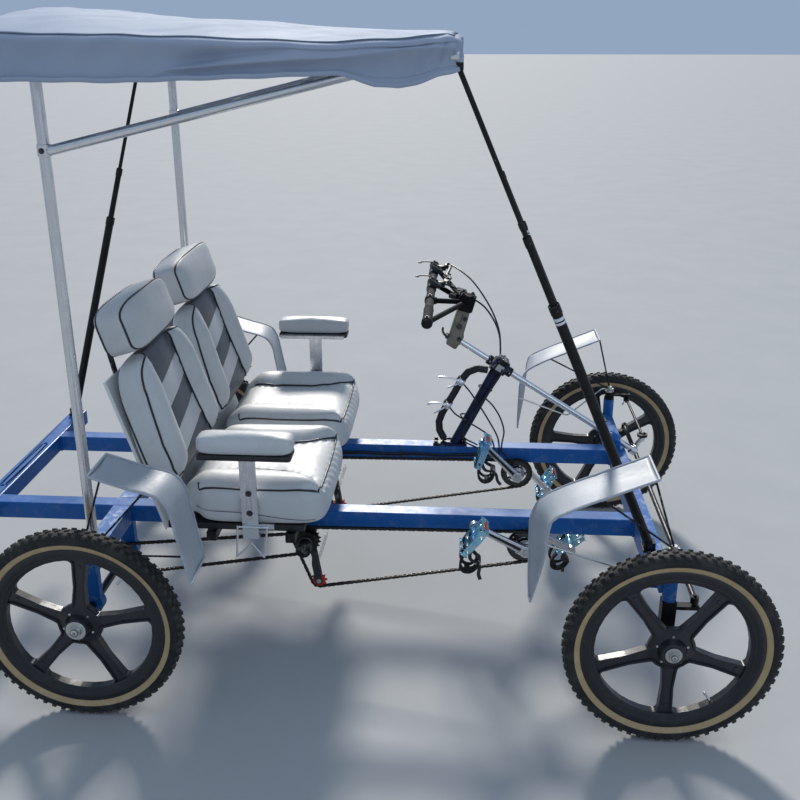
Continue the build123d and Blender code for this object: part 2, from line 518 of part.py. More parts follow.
drives = []
for side, s in (("left", 1), ("right", -1)):
    yb = s * BEAM_Y
    y_in, y_out = CHAIN_LINE[side], REAR_LINE[side]
    lo, hi = min(y_in, y_out), max(y_in, y_out)
    d = ycyl(JACK_X, yb - 33, yb + 33, JACK_Z, 20)
    d += block(JACK_X - 18, JACK_X + 18, yb - 16, yb + 16, JACK_Z, BEAM_BOT)
    d += ycyl(JACK_X, min(lo - 10, yb), max(hi + 14, yb), JACK_Z, 9)
    if s < 0:
        d += ycyl(JACK_X, -338, -312, JACK_Z, 20) + ycyl(JACK_X, -338, -300, JACK_Z, 9)
    else:
        d += ycyl(JACK_X, 296, 318, JACK_Z, 20) + ycyl(JACK_X, 280, 318, JACK_Z, 9)
    d += ycyl(JACK_X, y_in - 2, y_in + 2, JACK_Z, JACK_R1 - 3)
    d += ycyl(JACK_X, y_out - 2, y_out + 2, JACK_Z, JACK_R2 - 3)
    # chain tensioner that hangs below the shaft, with its toothed pulley
    side_y = y_in - 9 if s > 0 else y_in + 9
    d += rod((JACK_X + 4, side_y, JACK_Z - 4), (PULLEY_X, side_y, PULLEY_Z), 6)
    d += ycyl(PULLEY_X, min(side_y, y_in + (2 if s > 0 else -2)), max(side_y, y_in + (2 if s > 0 else -2)), PULLEY_Z, 5)
    d += ycyl(PULLEY_X, y_in - 2, y_in + 2, PULLEY_Z, PULLEY_R - 3)
    drives.append(d)
save("drive_units", bundle(drives))

# ---------------------------------------------------------------- fenders
# profile of the sheet in X (from the axle, towards the middle of the vehicle positive) and Z
FRONT_FENDER = [(80, 712), (272, 627), (334, 560), (334, 372)]
REAR_FENDER = [(90, 680), (250, 629), (278, 560), (302, 414)]
# the front flap narrows to its tip; the lowest stay leaves it level, then rises to the kingpin's nut
FLAP_TIP = 14.0           # half of the flap's width at its tip
LOW_STAY = (334, 428)
# where each front fender sits on its stays: nearer the axle and lower on the left
FRONT_SET = {"left": (-36.0, -70.0), "right": (0.0, 0.0)}


def fender(axle_x, direction, y, rows, tip, stays):
    s = 1 if y > 0 else -1
    y0, y1 = y - FENDER_W / 2, y + FENDER_W / 2
    sheet = None
    pts = [(axle_x + direction * a, z) for a, z in rows]
    for (xa, za), (xb, zb) in zip(pts[:-1], pts[1:]):
        dx, dz = xb - xa, zb - za
        L = math.hypot(dx, dz)
        nx, nz = -dz / L * FENDER_T, dx / L * FENDER_T
        if xa == xb and tip < FENDER_W / 2:
            flap = Plane(origin=(xa, y, 0), x_dir=(0, 1, 0), z_dir=(1, 0, 0)) * Polygon((-FENDER_W / 2, za), (FENDER_W / 2, za), (tip, zb), (-tip, zb), align=None)
            piece = extrude(flap, amount=nx)
        else:
            piece = xz_plate([(xa, za), (xb, zb), (xb + nx, zb + nz), (xa + nx, za + nz)], y0, y1)
        sheet = piece if sheet is None else sheet + piece + ycyl(xa, y0, y1, za, FENDER_T * 0.999)
    # wire frame along the edges
    for e in (-1, 1):
        ye = y + e * (FENDER_W / 2 - 3)
        sheet += wire([(x, ye, z) for x, z in pts[:-1]] + [(pts[-1][0], y + e * (tip - 3), pts[-1][1])], WIRE_R)
    sheet += wire([(pts[0][0], y0 + 3, pts[0][1]), (pts[0][0], y1 - 3, pts[0][1])], WIRE_R)
    sheet += wire([(pts[-1][0], y - tip + 3, pts[-1][1]), (pts[-1][0], y + tip - 3, pts[-1][1])], WIRE_R)
    for (a, z), *path in stays:
        # each stay starts on the edge nearer the middle of the vehicle
        part = max(0.0, (rows[-2][1] - z) / (rows[-2][1] - rows[-1][1])) if a >= rows[-2][0] else 0.0
        yi = y - s * (FENDER_W / 2 - 3 + (tip - FENDER_W / 2) * part)
        sheet += wire([(axle_x + direction * a, yi, z)] + path, WIRE_R)
    return sheet


# the front fenders turn with the wheels: their wires are clamped under the kingpin's nut
rears = []
for side, s in (("left", 1), ("right", -1)):
    hook = (FRONT_AXLE_X, s * KINGPIN_Y, 474.5)
    da, dz = FRONT_SET[side]
    rows = [(a + da, z + dz) for a, z in FRONT_FENDER]
    low = (LOW_STAY[0] + da, LOW_STAY[1] + dz)
    save("front_" + side + "_fender", fender(FRONT_AXLE_X, -1, s * FRONT_WHEEL_Y, rows, FLAP_TIP, [(rows[0], hook), (rows[1], hook), (low, (FRONT_AXLE_X - 134, s * (FRONT_WHEEL_Y - 62), LOW_STAY[1] + dz * 0.8), (FRONT_AXLE_X - 26, s * (KINGPIN_Y + 2), 474.5), hook)])
         + Pos(FRONT_AXLE_X, s * KINGPIN_Y, 472.0) * Cylinder(9, 14.0))
    foot = [(REAR_AXLE_X + d, s * 522, BEAM_TOP + WIRE_R + 0.2) for d in (-12, 4, 18)]
    rears.append(fender(REAR_AXLE_X, 1, s * 606.0, REAR_FENDER, FENDER_W / 2, [(REAR_FENDER[0], foot[0]), (REAR_FENDER[1], foot[1]), (REAR_FENDER[3], foot[2])]))
save("rear_fenders", bundle(rears))

print("nodes", len(NODES))
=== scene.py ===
import math
import bpy
import bmesh
import numpy as np
from mathutils import Vector, Matrix
from mathutils.bvhtree import BVHTree


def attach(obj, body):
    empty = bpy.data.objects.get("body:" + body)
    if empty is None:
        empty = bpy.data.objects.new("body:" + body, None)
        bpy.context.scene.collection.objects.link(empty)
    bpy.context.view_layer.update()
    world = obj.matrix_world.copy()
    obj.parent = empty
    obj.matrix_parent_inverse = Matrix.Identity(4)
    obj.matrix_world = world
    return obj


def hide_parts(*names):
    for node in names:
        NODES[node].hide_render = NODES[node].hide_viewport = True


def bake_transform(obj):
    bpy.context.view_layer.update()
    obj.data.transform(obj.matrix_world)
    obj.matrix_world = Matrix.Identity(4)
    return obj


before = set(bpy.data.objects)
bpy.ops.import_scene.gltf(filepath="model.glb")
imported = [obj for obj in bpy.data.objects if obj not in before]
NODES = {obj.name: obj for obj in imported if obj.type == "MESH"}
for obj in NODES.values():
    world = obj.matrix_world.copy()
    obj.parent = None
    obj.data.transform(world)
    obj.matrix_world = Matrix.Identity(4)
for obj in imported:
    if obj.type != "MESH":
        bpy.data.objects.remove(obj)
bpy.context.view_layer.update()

scene = bpy.context.scene
rng = np.random.default_rng(7)

# ------------------------------------------------------------------ places, in metres, row frame
FX, RX, AX_Z = 0.780, -0.630, 0.254
TYRE_R = 0.254
WHEEL_Y = {"front": 0.611, "rear": 0.600}
SPOKE_DEG = {"front_left": 31, "front_right": 270, "rear_left": 50, "rear_right": 12}
BEAM, BEAM_Y, BEAM_TOP, BEAM_BOT = 0.048, 0.228, 0.396, 0.348
SHAFT_A = Vector((0.259, 0.228, 0.740))
SHAFT_B = Vector((0.812, 0.228, 0.3921))
SD = (SHAFT_B - SHAFT_A).normalized()
SU = Vector((-SD.z, 0, SD.x))                     # square to the shaft, up and forward
SEAT_Y = 0.231
BACK_P = (-0.392, 0.548)
BT = math.radians(17.0)
BACK_UP = Vector((-math.sin(BT), 0, math.cos(BT)))
BACK_OUT = Vector((math.cos(BT), 0, math.sin(BT)))


# ------------------------------------------------------------------ mesh making
class Mesh:
    """Collects vertices, faces and material numbers for one piece."""

    def __init__(self):
        self.v, self.f, self.m, self.n = [], [], [], 0

    def add(self, part, mat=0, move=None):
        verts, faces = part
        verts = np.asarray(verts, float).reshape(-1, 3)
        if move is not None:
            a = np.array(move, float)
            verts = verts @ a[:3, :3].T + a[:3, 3]
        self.v.append(verts)
        b = self.n
        self.f.extend([tuple(b + i for i in f) for f in faces])
        if isinstance(mat, (list, tuple, np.ndarray)):
            self.m.extend([int(i) for i in mat])
        else:
            self.m.extend([mat] * len(faces))
        self.n += len(verts)
        return self


def build(name, mesh, mats, body, sharp=38, replaces=(), weld=0):
    me = bpy.data.meshes.new(name)
    me.from_pydata(np.concatenate(mesh.v).tolist(), [], mesh.f)
    for m in mats if isinstance(mats, (list, tuple)) else [mats]:
        me.materials.append(m)
    me.polygons.foreach_set("material_index", mesh.m)
    bm = bmesh.new()
    bm.from_mesh(me)
    if weld:
        bmesh.ops.remove_doubles(bm, verts=bm.verts, dist=weld)
    bmesh.ops.recalc_face_normals(bm, faces=bm.faces)
    bm.to_mesh(me)
    bm.free()
    me.shade_smooth()
    if sharp < 180:
        me.set_sharp_from_angle(angle=math.radians(sharp))
    me.update()
    o = bpy.data.objects.new(name, me)
    scene.collection.objects.link(o)
    if body:
        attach(o, body)
    if replaces:
        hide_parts(*replaces)
    return o


def unit(v):
    v = np.asarray(v, float)
    return v / max(np.linalg.norm(v), 1e-12)


def frames_along(P, closed=False, up=None):
    P = np.asarray(P, float)
    if closed:
        T = np.roll(P, -1, 0) - np.roll(P, 1, 0)
    else:
        T = np.gradient(P, axis=0)
    T = T / np.maximum(np.linalg.norm(T, axis=1), 1e-12)[:, None]
    ref = np.asarray(up, float) if up is not None else (np.array([0, 0, 1.0]) if abs(T[0][2]) < 0.9 else np.array([1.0, 0, 0]))
    n = ref - T[0] * (ref @ T[0])
    if np.linalg.norm(n) < 1e-6:
        ref = np.array([1.0, 0, 0]) if abs(T[0][0]) < 0.9 else np.array([0, 1.0, 0])
        n = ref - T[0] * (ref @ T[0])
    n /= np.linalg.norm(n)
    N = [n]
    for i in range(1, len(P)):
        q = N[-1] - T[i] * (N[-1] @ T[i])
        q /= max(np.linalg.norm(q), 1e-12)
        N.append(q)
    N = np.array(N)
    Bn = np.cross(T, N)
    if closed:
        q = N[-1] - T[0] * (N[-1] @ T[0])
        q /= np.linalg.norm(q)
        a = math.atan2(np.cross(q, N[0]) @ T[0], q @ N[0])
        for i in range(len(P)):
            t = a * i / len(P)
            N[i], Bn[i] = N[i] * math.cos(t) + Bn[i] * math.sin(t), Bn[i] * math.cos(t) - N[i] * math.sin(t)
    return T, N, Bn


def tube(path, r, n=12, closed=False, caps=True, up=None, section=None):
    """Round tube along a path; r may be a list, and section a list of (a, b) offsets in units of r."""
    P = np.asarray(path, float)
    T, N, Bn = frames_along(P, closed, up)
    r = np.broadcast_to(np.asarray(r, float), (len(P),))
    if section is None:
        ang = np.arange(n) * 2 * math.pi / n
        sec = np.stack([np.cos(ang), np.sin(ang)], 1)
    else:
        sec = np.asarray(section, float)
        n = len(sec)
    V = P[:, None, :] + r[:, None, None] * (sec[None, :, 0, None] * N[:, None, :] + sec[None, :, 1, None] * Bn[:, None, :])
    V = V.reshape(-1, 3)
    F = []
    m = len(P)
    for i in range(m if closed else m - 1):
        j = (i + 1) % m
        for k in range(n):
            l = (k + 1) % n
            F.append((i * n + k, i * n + l, j * n + l, j * n + k))
    if caps and not closed:
        F.append(tuple(range(n - 1, -1, -1)))
        F.append(tuple((m - 1) * n + k for k in range(n)))
    return V, F


def curve(points, step=0.008, closed=False):
    """Smooth line through the points, at about that spacing."""
    P = [np.asarray(p, float) for p in points]
    m = len(P)
    out = []
    segs = m if closed else m - 1
    for i in range(segs):
        if closed:
            p0, p1, p2, p3 = P[(i - 1) % m], P[i], P[(i + 1) % m], P[(i + 2) % m]
        else:
            p1, p2 = P[i], P[i + 1]
            p0 = P[i - 1] if i > 0 else 2 * p1 - p2
            p3 = P[i + 2] if i + 2 < m else 2 * p2 - p1
        d = [max(np.linalg.norm(b - a), 1e-6) ** 0.5 for a, b in ((p0, p1), (p1, p2), (p2, p3))]
        m1 = (p1 - p0) / d[0] - (p2 - p0) / (d[0] + d[1]) + (p2 - p1) / d[1]
        m2 = (p2 - p1) / d[1] - (p3 - p1) / (d[1] + d[2]) + (p3 - p2) / d[2]
        m1, m2 = m1 * d[1], m2 * d[1]
        k = max(2, int(np.linalg.norm(p2 - p1) / step))
        for j in range(k):
            t = j / k
            out.append((2 * t ** 3 - 3 * t ** 2 + 1) * p1 + (t ** 3 - 2 * t ** 2 + t) * m1 + (-2 * t ** 3 + 3 * t ** 2) * p2 + (t ** 3 - t ** 2) * m2)
    if not closed:
        out.append(P[-1])
    return np.array(out)


def bent(points, radius, seg=6):
    """Straight runs with rounded corners."""
    P = [np.asarray(p, float) for p in points]
    out = [P[0]]
    for a, b, c in zip(P[:-2], P[1:-1], P[2:]):
        u, w = unit(a - b), unit(c - b)
        ang = math.acos(max(-1, min(1, float(u @ w))))
        t = min(radius / math.tan(ang / 2) if ang < 3.1 else 0.0, 0.45 * np.linalg.norm(a - b), 0.45 * np.linalg.norm(c - b))
        if t < 1e-5:
            out.append(b)
            continue
        p, q = b + u * t, b + w * t
        for k in range(seg + 1):
            s = k / seg
            out.append((1 - s) ** 2 * p + 2 * s * (1 - s) * b + s * s * q)
    out.append(P[-1])
    return np.array(out)


def axes_from(axis, ref=None):
    z = unit(axis)
    ref = np.asarray(ref, float) if ref is not None else (np.array([0, 0, 1.0]) if abs(z[2]) < 0.9 else np.array([1.0, 0, 0]))
    x = unit(ref - z * (ref @ z))
    y = np.cross(z, x)
    return x, y, z


def placed(origin, axis, ref=None):
    x, y, z = axes_from(axis, ref)
    m = np.eye(4)
    m[:3, 0], m[:3, 1], m[:3, 2], m[:3, 3] = x, y, z, np.asarray(origin, float)
    return m


def lathe(profile, n=32, origin=(0, 0, 0), axis=(0, 0, 1), closed=False, caps=True, ref=None):
    """Revolves (radius, height) pairs round the axis."""
    pr = np.asarray(profile, float)
    x, y, z = axes_from(axis, ref)
    ang = np.arange(n) * 2 * math.pi / n
    ring = np.cos(ang)[:, None] * x + np.sin(ang)[:, None] * y
    V = np.asarray(origin, float) + pr[:, None, 0, None] * ring[None] + pr[:, None, 1, None] * z
    V = V.reshape(-1, 3)
    F = []
    m = len(pr)
    for i in range(m if closed else m - 1):
        j = (i + 1) % m
        for k in range(n):
            l = (k + 1) % n
            F.append((i * n + k, i * n + l, j * n + l, j * n + k))
    if caps and not closed:
        F.append(tuple(range(n - 1, -1, -1)))
        F.append(tuple((m - 1) * n + k for k in range(n)))
    return V, F


def rbox(size, bevel=0.002, seg=2):
    """Box with rounded edges, centred on the origin."""
    bm = bmesh.new()
    bmesh.ops.create_cube(bm, size=1.0)
    for v in bm.verts:
        v.co = Vector((v.co.x * size[0], v.co.y * size[1], v.co.z * size[2]))
    if bevel > 0:
        bmesh.ops.bevel(bm, geom=bm.edges[:], offset=min(bevel, 0.49 * min(size)), segments=seg, profile=0.5, affect="EDGES")
    bm.verts.index_update()
    out = (np.array([v.co[:] for v in bm.verts]), [tuple(v.index for v in f.verts) for f in bm.faces])
    bm.free()
    return out


def prism(outline, h, bevel=0.0, seg=2, holes=()):
    """Flat plate from an outline in X, Y, from -h/2 to h/2 in Z, with holes given as outlines."""
    bm = bmesh.new()
    if holes:
        loops = [outline] + list(holes)
        for lp in loops:
            vs = [bm.verts.new((p[0], p[1], -h / 2)) for p in lp]
            for a, b in zip(vs, vs[1:] + vs[:1]):
                bm.edges.new((a, b))
        bmesh.ops.triangle_fill(bm, use_beauty=True, use_dissolve=False, edges=bm.edges[:])
    else:
        bm.faces.new([bm.verts.new((p[0], p[1], -h / 2)) for p in outline])
    got = bmesh.ops.extrude_face_region(bm, geom=bm.faces[:])
    for g in got["geom"]:
        if isinstance(g, bmesh.types.BMVert):
            g.co.z = h / 2
    bmesh.ops.recalc_face_normals(bm, faces=bm.faces)
    if bevel > 0:
        es = [e for e in bm.edges if len(e.link_faces) == 2 and e.calc_face_angle(0) > 0.6]
        bmesh.ops.bevel(bm, geom=es, offset=bevel, segments=seg, profile=0.5, affect="EDGES", clamp_overlap=True)
    bm.verts.index_update()
    out = (np.array([v.co[:] for v in bm.verts]), [tuple(v.index for v in f.verts) for f in bm.faces])
    bm.free()
    return out


def circle(r, n=24, c=(0, 0), a0=0.0):
    return [(c[0] + r * math.cos(a0 + 2 * math.pi * i / n), c[1] + r * math.sin(a0 + 2 * math.pi * i / n)) for i in range(n)]


def hexhead(pos, axis, r=0.0065, h=0.005, washer=True):
    """Bolt head or nut with its washer, standing on pos along axis."""
    V, F = prism(circle(r, 6), h, bevel=min(0.0008, r * 0.15), seg=1)
    m = placed(np.asarray(pos, float) + unit(axis) * (h / 2 + (0.0012 if washer else 0)), axis)
    V = V @ m[:3, :3].T + m[:3, 3]
    if washer:
        W, G = lathe([(r * 0.4, 0), (r * 1.55, 0), (r * 1.6, 0.0006), (r * 1.55, 0.0013), (r * 0.4, 0.0013)], 20, pos, axis)
        G = [tuple(i + len(V) for i in f) for f in G]
        return np.concatenate([V, W]), F + G
    return V, F


def weld_bead(points, r=0.0028, closed=False, seed=0):
    """Rippled weld seam along a line."""
    P = curve(points, 0.0022, closed) if len(points) > 2 else np.linspace(points[0], points[1], max(4, int(np.linalg.norm(np.subtract(points[1], points[0])) / 0.0022)))
    k = np.arange(len(P))
    rad = r * (1 + 0.16 * np.cos(k * math.pi) + 0.10 * np.sin(k * 0.7 + seed))
    return tube(P, rad, 8, closed)


# ------------------------------------------------------------------ materials
def new_mat(name):
    m = bpy.data.materials.new(name)
    m.use_nodes = True
    nt = m.node_tree
    b = nt.nodes["Principled BSDF"]
    return m, nt, b


def N(nt, kind, **kw):
    n = nt.nodes.new(kind)
    for k, v in kw.items():
        if k.startswith("in_"):
            n.inputs[k[3:].replace("_", " ")].default_value = v
        else:
            setattr(n, k, v)
    return n


def link(nt, a, b):
    nt.links.new(a, b)


def coords(nt, scale=(1, 1, 1)):
    tc = N(nt, "ShaderNodeTexCoord")
    mp = N(nt, "ShaderNodeMapping")
    mp.inputs["Scale"].default_value = scale
    link(nt, tc.outputs["Object"], mp.inputs["Vector"])
    return mp.outputs["Vector"]


def noise_tex(nt, vec, scale, detail=4.0, rough=0.6, distort=0.0):
    n = N(nt, "ShaderNodeTexNoise")
    n.inputs["Scale"].default_value = scale
    n.inputs["Detail"].default_value = detail
    n.inputs["Roughness"].default_value = rough
    n.inputs["Distortion"].default_value = distort
    link(nt, vec, n.inputs["Vector"])
    return n.outputs["Fac"]


def ramp(nt, fac, stops):
    r = N(nt, "ShaderNodeValToRGB")
    e = r.color_ramp.elements
    while len(e) < len(stops):
        e.new(0.5)
    for i, (p, c) in enumerate(stops):
        e[i].position = p
        e[i].color = (*c, 1) if len(c) == 3 else c
    link(nt, fac, r.inputs["Fac"])
    return r.outputs["Color"]


def fmap(nt, fac, a, b, c, d):
    r = N(nt, "ShaderNodeMapRange")
    for k, v in (("From Min", a), ("From Max", b), ("To Min", c), ("To Max", d)):
        r.inputs[k].default_value = v
    link(nt, fac, r.inputs["Value"])
    return r.outputs["Result"]


def mixc(nt, fac, a, b, mode="MIX"):
    m = N(nt, "ShaderNodeMix", data_type="RGBA", blend_type=mode)
    for s, v in ((0, fac), (6, a), (7, b)):
        if isinstance(v, bpy.types.NodeSocket):
            link(nt, v, m.inputs[s])
        elif s == 0:
            m.inputs[0].default_value = v
        else:
            m.inputs[s].default_value = (*v, 1)
    return m.outputs[2]


def math_n(nt, op, a, b=None, c=None, clamp=False):
    m = N(nt, "ShaderNodeMath", operation=op, use_clamp=clamp)
    for i, v in enumerate((a, b, c)):
        if v is None:
            continue
        if isinstance(v, bpy.types.NodeSocket):
            link(nt, v, m.inputs[i])
        else:
            m.inputs[i].default_value = v
    return m.outputs[0]


def bump(nt, height, strength, dist, normal=None):
    b = N(nt, "ShaderNodeBump")
    b.inputs["Strength"].default_value = strength
    b.inputs["Distance"].default_value = dist
    link(nt, height, b.inputs["Height"])
    if normal is not None:
        link(nt, normal, b.inputs["Normal"])
    return b.outputs["Normal"]


def edge_wear(nt, lo=0.52, hi=0.60):
    g = N(nt, "ShaderNodeNewGeometry")
    return fmap(nt, g.outputs["Pointiness"], lo, hi, 0.0, 1.0)


def painted(name, col, col2, chip, rough=0.32, coat=0.5, dirt=0.35, orange=0.10, wear=(0.53, 0.62), spec=0.5):
    """Painted metal: orange peel, faint dust, worn edges that show bare metal."""
    m, nt, b = new_mat(name)
    v = coords(nt)
    big = noise_tex(nt, v, 7, 5, 0.6)
    fine = noise_tex(nt, v, 160, 3, 0.55)
    mid = noise_tex(nt, v, 38, 6, 0.7, 0.4)
    base = mixc(nt, fmap(nt, big, 0.35, 0.65, 0, 1), col, col2)
    dust = fmap(nt, mid, 0.50, 0.75, 0, dirt)
    base = mixc(nt, dust, base, tuple(min(1, c * 0.6 + 0.16) for c in col))
    w = math_n(nt, "MULTIPLY", edge_wear(nt, *wear), fmap(nt, mid, 0.52, 0.66, 0, 1), clamp=True)
    spots = fmap(nt, noise_tex(nt, v, 95, 2, 0.5), 0.79, 0.80, 0, 1)
    w = math_n(nt, "MAXIMUM", w, spots)
    base = mixc(nt, w, base, chip)
    link(nt, base, b.inputs["Base Color"])
    link(nt, math_n(nt, "MULTIPLY", w, 0.75), b.inputs["Metallic"])
    link(nt, math_n(nt, "ADD", fmap(nt, mid, 0.3, 0.7, rough - 0.07, rough + 0.12), math_n(nt, "MULTIPLY", w, 0.15)), b.inputs["Roughness"])
    b.inputs["Specular IOR Level"].default_value = spec
    b.inputs["Coat Weight"].default_value = coat
    b.inputs["Coat Roughness"].default_value = 0.18
    nrm = bump(nt, fine, orange, 0.0006)
    nrm = bump(nt, w, 0.35, -0.0004, nrm)
    link(nt, nrm, b.inputs["Normal"])
    return m


def metal(name, col, rough=0.28, brushed=(1, 1, 1), grain=0.12, tarnish=0.35, tint=(0.35, 0.33, 0.30)):
    m, nt, b = new_mat(name)
    v = coords(nt, brushed)
    v1 = coords(nt)
    streak = noise_tex(nt, v, 220, 4, 0.6)
    blot = noise_tex(nt, v1, 22, 6, 0.65, 0.6)
    base = mixc(nt, fmap(nt, streak, 0.35, 0.65, 0, 0.5), col, tuple(c * 0.8 for c in col))
    base = mixc(nt, fmap(nt, blot, 0.52, 0.78, 0, tarnish), base, tint)
    link(nt, base, b.inputs["Base Color"])
    b.inputs["Metallic"].default_value = 1.0
    link(nt, math_n(nt, "ADD", fmap(nt, streak, 0.3, 0.7, rough - 0.06, rough + 0.08), fmap(nt, blot, 0.5, 0.8, 0, 0.2)), b.inputs["Roughness"])
    link(nt, bump(nt, streak, grain, 0.0003), b.inputs["Normal"])
    return m


def plastic(name, col, rough=0.45, grain_scale=900, grain=0.25, vary=0.25, dust=0.25, dust_col=(0.30, 0.28, 0.25), spec=0.5):
    m, nt, b = new_mat(name)
    v = coords(nt)
    big = noise_tex(nt, v, 11, 5, 0.6)
    fine = noise_tex(nt, v, grain_scale, 2, 0.5)
    mid = noise_tex(nt, v, 55, 5, 0.7)
    base = mixc(nt, fmap(nt, big, 0.35, 0.65, 0, 1), col, tuple(c * (1 - vary) for c in col))
    base = mixc(nt, fmap(nt, mid, 0.52, 0.8, 0, dust), base, dust_col)
    base = mixc(nt, math_n(nt, "MULTIPLY", edge_wear(nt), 0.35), base, tuple(min(1, c * 1.7 + 0.03) for c in col))
    link(nt, base, b.inputs["Base Color"])
    link(nt, fmap(nt, mid, 0.3, 0.75, rough - 0.08, rough + 0.16), b.inputs["Roughness"])
    b.inputs["Specular IOR Level"].default_value = spec
    link(nt, bump(nt, fine, grain, 0.0003), b.inputs["Normal"])
    return m


# ------------------------------------------------------------------ finishes
BLUE = painted("frame_blue", (0.006, 0.102, 0.36), (0.008, 0.120, 0.40), (0.30, 0.31, 0.32), rough=0.40, coat=0.08, dirt=0.03, spec=0.28)
BARBLACK = painted("handlebar_black", (0.0035, 0.0035, 0.0042), (0.006, 0.006, 0.007), (0.16, 0.155, 0.15), rough=0.66, coat=0.0, dirt=0.04, spec=0.14)
NAVY = painted("post_blue", (0.005, 0.012, 0.044), (0.007, 0.017, 0.060), (0.36, 0.37, 0.38), rough=0.42, coat=0.08, dirt=0.10, spec=0.3)
BLACK = painted("black_paint", (0.0045, 0.0045, 0.0055), (0.008, 0.008, 0.009), (0.26, 0.25, 0.24), rough=0.44, coat=0.05, dirt=0.10, spec=0.26)
CHROME = metal("bright_plate", (0.80, 0.81, 0.83), rough=0.16, grain=0.05, tarnish=0.25)
ALU = metal("alu_tube", (0.74, 0.75, 0.77), rough=0.27, brushed=(0.12, 1, 1), grain=0.05, tarnish=0.07, tint=(0.48, 0.47, 0.45))
ALU_V = metal("alu_tube_up", (0.74, 0.75, 0.77), rough=0.27, brushed=(1, 1, 0.12), grain=0.05, tarnish=0.07, tint=(0.48, 0.47, 0.45))
CAST = metal("cast_grey", (0.36, 0.33, 0.29), rough=0.42, grain=0.35, tarnish=0.5, tint=(0.20, 0.17, 0.14))
ZINC = metal("zinc_bolt", (0.66, 0.66, 0.63), rough=0.30, grain=0.08, tarnish=0.6, tint=(0.36, 0.26, 0.16))
OILED = metal("oiled_steel", (0.060, 0.057, 0.055), rough=0.42, grain=0.2, tarnish=0.4, tint=(0.09, 0.06, 0.04))
DARKSTEEL = metal("dark_steel", (0.09, 0.09, 0.095), rough=0.30, grain=0.15, tarnish=0.4, tint=(0.10, 0.07, 0.05))
PEDAL = metal("pedal_alloy", (0.36, 0.66, 0.84), rough=0.25, grain=0.12, tarnish=0.35, tint=(0.25, 0.32, 0.40))
MAG = plastic("mag_black", (0.013, 0.014, 0.017), rough=0.34, grain_scale=700, grain=0.18, vary=0.2, dust=0.18, dust_col=(0.16, 0.14, 0.12))
PLASTIC = plastic("black_moulding", (0.012, 0.012, 0.013), rough=0.42, grain=0.35, dust=0.2, dust_col=(0.14, 0.13, 0.12))
GRIP = plastic("grip_rubber", (0.0045, 0.0045, 0.005), rough=0.86, grain_scale=500, grain=0.8, dust=0.05, dust_col=(0.03, 0.03, 0.03))
DARKALU = metal("dark_alloy", (0.060, 0.061, 0.065), rough=0.46, grain=0.15, tarnish=0.3, tint=(0.05, 0.05, 0.05))
CABLE = plastic("cable_sheath", (0.008, 0.008, 0.009), rough=0.36, grain_scale=1500, grain=0.08, dust=0.10)
SHELL = plastic("shell_white", (0.66, 0.67, 0.65), rough=0.40, grain_scale=500, grain=0.15, vary=0.08, dust=0.22, dust_col=(0.40, 0.38, 0.32))
RED = plastic("red_pulley", (0.50, 0.012, 0.010), rough=0.40, grain=0.15, vary=0.25, dust=0.35, dust_col=(0.10, 0.05, 0.04))
WHITE_TAPE = plastic("white_tape", (0.70, 0.71, 0.72), rough=0.5, grain_scale=300, grain=0.3, vary=0.1)


def reflector_mat():
    m, nt, b = new_mat("amber_reflector")
    v = coords(nt)
    vo = N(nt, "ShaderNodeTexVoronoi")
    vo.inputs["Scale"].default_value = 330
    link(nt, v, vo.inputs["Vector"])
    base = mixc(nt, fmap(nt, vo.outputs["Distance"], 0.0, 0.6, 0, 1), (0.95, 0.22, 0.015), (0.62, 0.09, 0.005))
    link(nt, base, b.inputs["Base Color"])
    b.inputs["Roughness"].default_value = 0.14
    b.inputs["Coat Weight"].default_value = 0.8
    link(nt, bump(nt, vo.outputs["Distance"], 0.7, 0.0008), b.inputs["Normal"])
    return m


REFLECTOR = reflector_mat()


def rubber(name, col, dusty):
    m, nt, b = new_mat(name)
    v = coords(nt)
    mid = noise_tex(nt, v, 26, 6, 0.7, 0.3)
    fine = noise_tex(nt, v, 420, 3, 0.6)
    base = mixc(nt, fmap(nt, mid, 0.45, 0.75, 0, 0.65), col, dusty)
    base = mixc(nt, math_n(nt, "MULTIPLY", edge_wear(nt, 0.52, 0.62), 0.5), base, dusty)
    link(nt, base, b.inputs["Base Color"])
    link(nt, fmap(nt, mid, 0.3, 0.8, 0.62, 0.85), b.inputs["Roughness"])
    b.inputs["Specular IOR Level"].default_value = 0.35
    link(nt, bump(nt, fine, 0.35, 0.0004), b.inputs["Normal"])
    return m


RUBBER = rubber("tyre_black", (0.014, 0.014, 0.015), (0.085, 0.078, 0.068))
TAN = rubber("tyre_tan", (0.46, 0.33, 0.17), (0.60, 0.47, 0.29))


